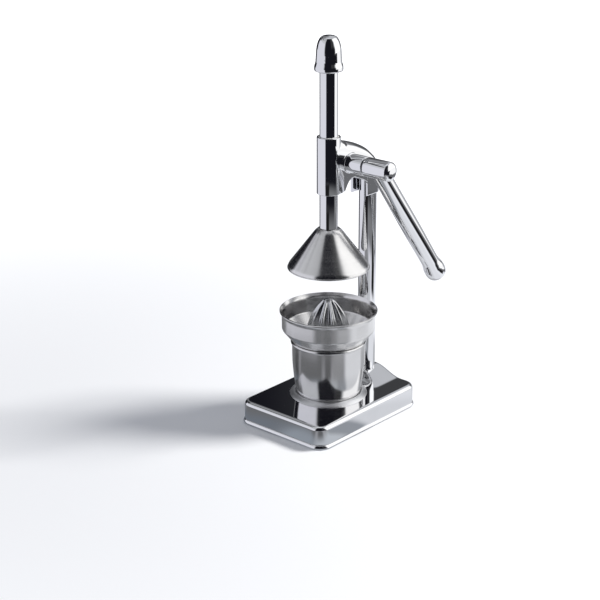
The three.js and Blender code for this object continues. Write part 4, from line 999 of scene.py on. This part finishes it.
class PRESS_OT_lever(bpy.types.Operator):
    """Build the domed hub, the lever bar with its swollen end and the grub screw"""
    bl_idname = "press.lever"
    bl_label = "Lever"

    def execute(self, context):
        lever, head = context.scene.press_lever, context.scene.press_head
        start, end = low("lever_hub").x, high("lever_hub").x
        radius, dome_length = lever.hub_radius, lever.hub_dome
        dome = curved(scaled(HUB_DOME, radius, dome_length, end - dome_length), 6,
                      before=(radius, end - 2 * dome_length), after=(-0.22 * radius, end))
        flat = 0.0045
        foot = softened([(flat, start), (radius, start), dome[0]], head.boss_edge, 5)[:-1]
        hub = turned_mesh("hub", [(0, start), *foot, *dome], matrix=hub_axis())
        placed("hub", hub, "chrome", "lever", "chrome", "lever_hub")

        pivot = Vector((0, *middle("lever_hub").yz))
        lean = Matrix.Rotation(lever.rest_angle, 4, "X")
        side = scaled(LEVER_SIDE, lever.bar_radius, -lever.bar_length)
        line = curved(side, 7, after=(-side[-2][0], side[-2][1]))
        hang = Matrix.Translation(pivot) @ lean @ Matrix.Translation((start + lever.bar_offset, 0, 0))
        bar = turned_mesh("bar", [(0, line[0][1]), *line], matrix=hang)
        placed("lever_bar", bar, "chrome", "lever", "chrome", "lever_arm")

        place = pivot + lean @ Vector((middle("hub_grub_screw").x, 0, radius + SLIVER / 2))
        grub = fasteners([place], "hard", lever.rest_angle, **HUB_SCREW)
        placed("grub_screw", grub, "hard", "lever", "hard_steel", "hub_grub_screw")
        return {"FINISHED"}


class PRESS_OT_plunger(bpy.types.Operator):
    """Build the rod, its cap and the bell"""
    bl_idname = "press.plunger"
    bl_label = "Plunger"

    def execute(self, context):
        sizes = context.scene.press_plunger
        rack_low, rack_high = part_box("rack_strip")
        rod = rod_mesh("rod", sizes.rod_radius, low("plunger_rod").z, high("plunger_rod").z, segments=TURN)
        slot = box_mesh("slot", rack_low - Vector((GAP, GAP, GAP)),
                        (rack_high.x + GAP, sizes.rod_radius + OVERRUN, rack_high.z + GAP))
        placed("rod", carved(rod, [slot]), "chrome", "plunger", "chrome", "plunger_rod")

        bottom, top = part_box("plunger_cap")
        radius, height = sizes.cap_radius, top.z - bottom.z

        def real(shares):
            return scaled(shares, radius, height, bottom.z)

        flange = softened(real(CAP_FLANGE), sizes.cap_edge, 8)
        dome = curved(real(CAP_DOME), 8, before=real([(0.93, 0.2)])[0])
        crown = curved(real(CAP_TOP), 8, after=real([(-0.22, 0.994)])[0])
        cap = turned_mesh("cap", [(0, bottom.z), *flange, *dome, *crown], sharp=60)
        placed("cap", cap, "chrome", "plunger", "chrome", "plunger_cap")
        place = (0, radius + SLIVER / 2, middle("cap_screw").z)
        screw = fasteners([place], "hard", -QUARTER, **CAP_SCREW)
        placed("cap_grub_screw", screw, "hard", "plunger", "hard_steel", "cap_screw")

        bottom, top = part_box("press_bell")
        side = scaled(BELL_SIDE, sizes.bell_radius, top.z - bottom.z, bottom.z)
        side = softened([*side, (sizes.bell_bore, top.z)], sizes.bell_bend, 8)
        roll = circle(sizes.bell_radius - sizes.bell_roll, bottom.z + sizes.bell_roll, sizes.bell_roll, 14)
        bell = turned_mesh("bell", sheet_loop(side, sizes.bell_sheet), roll, segments=FINE_TURN)
        placed("bell", bell, "satin", "plunger", "satin_steel", "press_bell")
        return {"FINISHED"}


class PRESS_OT_cup(bpy.types.Operator):
    """Build the juice cup with its rolled bead"""
    bl_idname = "press.cup"
    bl_label = "Cup"

    def execute(self, context):
        cup = context.scene.press_cup
        bottom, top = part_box("juice_cup")
        bead_z = top.z - cup.bead
        side = scaled(CUP_SIDE, cup.flare, bead_z - bottom.z, bottom.z)
        side = curved([(cup.base_radius + out, z) for out, z in side], 8)
        foot = softened([(0, bottom.z), side[0], side[3]], cup.foot_bend, 4)[:-1]
        rim = circle(cup.base_radius + cup.flare - cup.wall / 2, bead_z, cup.bead, 20)
        mesh = turned_mesh("cup", sheet_loop([*foot, *side[3:]], cup.wall), rim, segments=FINE_TURN)
        placed("cup_body", mesh, "polished", "cup", "polished_steel", "juice_cup")
        return {"FINISHED"}


class PRESS_OT_strainer(bpy.types.Operator):
    """Build the strainer with its ring of juice holes"""
    bl_idname = "press.strainer"
    bl_label = "Strainer"

    def execute(self, context):
        cup = context.scene.press_cup
        bottom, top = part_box("strainer_bowl")
        ledge = bottom.z + cup.spigot_depth
        wall = scaled(STRAINER_WALL, cup.strainer_radius, top.z - ledge, ledge)
        spigot = [(cup.strainer_bore, bottom.z), (cup.spigot_radius, bottom.z), (cup.spigot_radius, ledge)]
        line = softened([*spigot, *wall], cup.strainer_bend)
        lip = circle(cup.strainer_radius - cup.lip, top.z - cup.lip, cup.lip, 14)
        bowl = turned_mesh("bowl", sheet_loop(line, cup.strainer_sheet), lip, segments=144)
        holes = (cup.reamer_radius + cup.spigot_radius - cup.strainer_sheet) / 2
        bowl = grown(bowl, juice_hole_tree(), "satin", count=cup.hole_count, radius=cup.hole_radius,
                     circle=holes, height=bottom.z, depth=0.006)
        placed("strainer", bowl, "satin", "strainer", "satin_steel", "strainer_bowl")
        return {"FINISHED"}


class PRESS_OT_reamer(bpy.types.Operator):
    """Build the ribbed reamer"""
    bl_idname = "press.reamer"
    bl_label = "Reamer"

    def execute(self, context):
        cup = context.scene.press_cup
        bottom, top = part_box("reamer_cone")
        radius, height = cup.reamer_radius, top.z - bottom.z
        side = scaled([(out, up) for out, up, _ in REAMER_SIDE], radius, height, bottom.z)
        skirt_top, rising = side[1], curved(side[2:], 7, after=(-0.2 * radius, top.z))
        edge, dish = 0.0006, 0.001
        skirt = softened([(radius, bottom.z), skirt_top, rising[0]], edge, 3)
        form = bmesh.new()
        spun(form, [(0, bottom.z + dish), *skirt, *rising[1:], (0.0, top.z)], REAMER_TURN)
        mesh = mesh_of(form, "reamer", sharp=60)
        swell = mesh.attributes.new("swell", "FLOAT", "POINT")
        depths = [(bottom.z + height * up, depth) for _, up, depth in REAMER_SIDE]
        for vertex, entry in zip(mesh.vertices, swell.data):
            entry.value = value_at(depths, vertex.co.z)
        mesh = grown(mesh, rib_tree(), "cast", sharp=60, ribs=cup.reamer_ribs, sharpness=1.4)
        placed("reamer", mesh, "cast", "strainer", "cast_alloy", "reamer_cone")
        return {"FINISHED"}


def backdrop(name, form, material):
    mesh = bpy.data.meshes.new(name)
    form.to_mesh(mesh)
    form.free()
    mesh.shade_smooth()
    mesh.materials.append(material)
    thing = linked(name, mesh)
    return thing


def hang_lamp(name, place, size, power, tone):
    """A round area lamp aimed at the press. The metal doesn't mirror it."""
    lamp = linked(name, bpy.data.lights.new(name, "AREA"))
    lamp.data.shape = "DISK"
    lamp.data.size = size
    lamp.data.energy = power
    lamp.data.color = tone
    lamp.location = place
    lamp.rotation_euler = (Vector((0, 0, 0.1)) - place).to_track_quat("-Z", "Y").to_euler()
    lamp.visible_glossy = False
    lamp.visible_camera = False


def bearings(tree, camera_bearing):
    """The shaded point's bearings from the camera's side and the far side, its elevation and its reach."""
    where = add(tree, "ShaderNodeTexCoord").outputs["Object"]
    x, y, z = split_up(tree, add(tree, "ShaderNodeMapping", {
        "Vector": where, "Rotation": (0.0, 0.0, -camera_bearing)}).outputs[0])
    reach = out_from_axis(tree, x, y)
    near = calc(tree, "DEGREES", calc(tree, "ARCTAN2", y, x))
    turned = [times(tree, value, -1.0) for value in (y, x)]
    far = calc(tree, "DEGREES", calc(tree, "ARCTAN2", *turned))
    return {"near": near, "far": far}, calc(tree, "DEGREES", calc(tree, "ARCTAN2", z, reach)), reach


def panelled(tree, sides, level, ground, panels):
    """Soft-edged panels laid over a ground tone, later ones over earlier ones."""
    seen = (*ground, 1.0)
    for side, (left, right, blur), (low_end, high_end, fade), tone in panels:
        mask = times(tree, between(tree, sides[side], left, right, blur),
                     between(tree, level, low_end, high_end, fade))
        seen = mixed(tree, mask, seen, (*tone, 1.0))
    return seen


def blank(name):
    """An empty material that lights nothing by sampling, and its output node."""
    material = bpy.data.materials.new(name)
    material.use_nodes = True
    material.cycles.emission_sampling = "NONE"
    material.node_tree.nodes.clear()
    return material, material.node_tree, add(material.node_tree, "ShaderNodeOutputMaterial")


def floor_finish(stage, camera_bearing):
    """A pale floor for the camera. The metal sees it as a glow painted with the press's shadow round its
    base, and with dark and pale zones farther out.
    """
    material, tree, end = blank("studio_floor")
    sides, _, reach = bearings(tree, camera_bearing)
    path = add(tree, "ShaderNodeLightPath").outputs
    pale = add(tree, "ShaderNodeBsdfDiffuse", {"Color": (*stage.floor, 1.0)}).outputs[0]
    lift = times(tree, path["Is Camera Ray"], ramped(tree, reach, *FLOOR_GLOW))
    glow = add(tree, "ShaderNodeEmission", {"Color": (1.0, 1.0, 1.0, 1.0), "Strength": lift}).outputs[0]
    lit = add(tree, "ShaderNodeAddShader", {0: pale, 1: glow}).outputs[0]
    patches_and_painted_shadow = panelled(tree, sides, reach, FLOOR_GROUND, FLOOR_PANELS_AND_PAINTED_SHADOW)
    mirrored = add(tree, "ShaderNodeEmission", {"Color": patches_and_painted_shadow}).outputs[0]
    either = add(tree, "ShaderNodeMixShader", {0: path["Is Glossy Ray"], 1: lit, 2: mirrored}).outputs[0]
    wire(tree, end, {"Surface": either})
    return material


def surround_finish(camera_bearing):
    """Pale walls and dark gaps in between, which only the metal sees."""
    material, tree, end = blank("studio_surround")
    sides, elevation, _ = bearings(tree, camera_bearing)
    walls = panelled(tree, sides, elevation, ROOM_GROUND, ROOM_PANELS)
    wire(tree, end, {"Surface": add(tree, "ShaderNodeEmission", {"Color": walls}).outputs[0]})
    return material


def light_world(scene, stage):
    """White to the camera and in the metal, and a plain soft fill on everything else."""
    scene.world = scene.world or bpy.data.worlds.new("world")
    scene.world.use_nodes = True
    tree = scene.world.node_tree
    tree.nodes.clear()
    path = add(tree, "ShaderNodeLightPath").outputs
    mirrors = calc(tree, "MAXIMUM", path["Is Glossy Ray"], path["Is Transmission Ray"])
    seen = calc(tree, "MAXIMUM", path["Is Camera Ray"], mirrors)
    fill = add(tree, "ShaderNodeBackground", {"Color": (*stage.sky, 1.0), "Strength": stage.fill}).outputs[0]
    white = add(tree, "ShaderNodeBackground", {"Color": (1.0, 1.0, 1.0, 1.0)}).outputs[0]
    either = add(tree, "ShaderNodeMixShader", {0: seen, 1: fill, 2: white}).outputs[0]
    add(tree, "ShaderNodeOutputWorld", {"Surface": either})


class PRESS_OT_stage(bpy.types.Operator):
    """Build the floor, the surround that the metal reflects, the lamps, the world and the camera"""
    bl_idname = "press.stage"
    bl_label = "Stage"

    def execute(self, context):
        scene, stage = context.scene, context.scene.press_stage
        back = Vector((math.sin(stage.azimuth) * math.cos(stage.elevation),
                       -math.cos(stage.azimuth) * math.cos(stage.elevation), math.sin(stage.elevation)))
        right = Vector((math.cos(stage.azimuth), math.sin(stage.azimuth), 0.0))
        up = back.cross(right)
        side = right * math.cos(stage.roll) + up * math.sin(stage.roll)
        rise = up * math.cos(stage.roll) - right * math.sin(stage.roll)
        eye = right * stage.aim_side + Vector((0, 0, stage.aim_height)) + back * stage.distance
        camera = linked("camera", bpy.data.cameras.new("camera"))
        camera.data.lens = stage.lens
        camera.data.sensor_width = 36.0
        camera.matrix_world = Matrix.Translation(eye) @ Matrix((side, rise, back)).transposed().to_4x4()
        scene.camera = camera

        camera_bearing = math.atan2(back.y, back.x)
        floor = bmesh.new()
        bmesh.ops.create_circle(floor, cap_ends=True, segments=96, radius=stage.radius)
        backdrop("floor", floor, floor_finish(stage, camera_bearing))
        dome = bmesh.new()
        bmesh.ops.create_uvsphere(dome, u_segments=96, v_segments=48, radius=stage.radius)
        bmesh.ops.delete(dome, geom=[v for v in dome.verts if v.co.z < -0.01], context="VERTS")
        bmesh.ops.reverse_faces(dome, faces=dome.faces)
        surround = backdrop("surround", dome, surround_finish(camera_bearing))
        surround.visible_camera = False
        surround.visible_diffuse = False
        surround.visible_shadow = False

        for name, ((across, nearer, height), size, power, tone) in LAMPS.items():
            hang_lamp(name, right * across + back * nearer + Vector((0, 0, height)), size, power, tone)
        light_world(scene, stage)
        scene.view_settings.view_transform = "Standard"
        return {"FINISHED"}


GROUPS = {
    "press_base": BaseSizes,
    "press_head": HeadSizes,
    "press_lever": LeverSizes,
    "press_plunger": PlungerSizes,
    "press_cup": CupSizes,
    "press_finishes": FinishColours,
    "press_stage": StageSettings,
}
OPERATORS = (PRESS_OT_finishes, PRESS_OT_base, PRESS_OT_column, PRESS_OT_head, PRESS_OT_lever,
             PRESS_OT_plunger, PRESS_OT_cup, PRESS_OT_strainer, PRESS_OT_reamer, PRESS_OT_stage)


class PRESS_PT_panel(bpy.types.Panel):
    """The press's sizes, colours and pieces"""
    bl_label = "Citrus Press"
    bl_idname = "PRESS_PT_panel"
    bl_space_type = "VIEW_3D"
    bl_region_type = "UI"
    bl_category = "Citrus Press"

    def draw(self, context):
        for operator in OPERATORS:
            self.layout.operator(operator.bl_idname)
        for label in GROUPS:
            held = getattr(context.scene, label)
            column = self.layout.column(align=True)
            for key in held.__annotations__:
                column.prop(held, key)


def register():
    for kind in [*GROUPS.values(), *OPERATORS, PRESS_PT_panel]:
        bpy.utils.register_class(kind)
    for label, kind in GROUPS.items():
        setattr(bpy.types.Scene, label, PointerProperty(type=kind))


def unregister():
    for label in GROUPS:
        delattr(bpy.types.Scene, label)
    for kind in [PRESS_PT_panel, *OPERATORS[::-1], *GROUPS.values()]:
        bpy.utils.unregister_class(kind)


def main():
    register()
    for operator in OPERATORS:
        getattr(bpy.ops.press, operator.bl_idname.split(".")[1])()


if __name__ == "__main__":
    main()
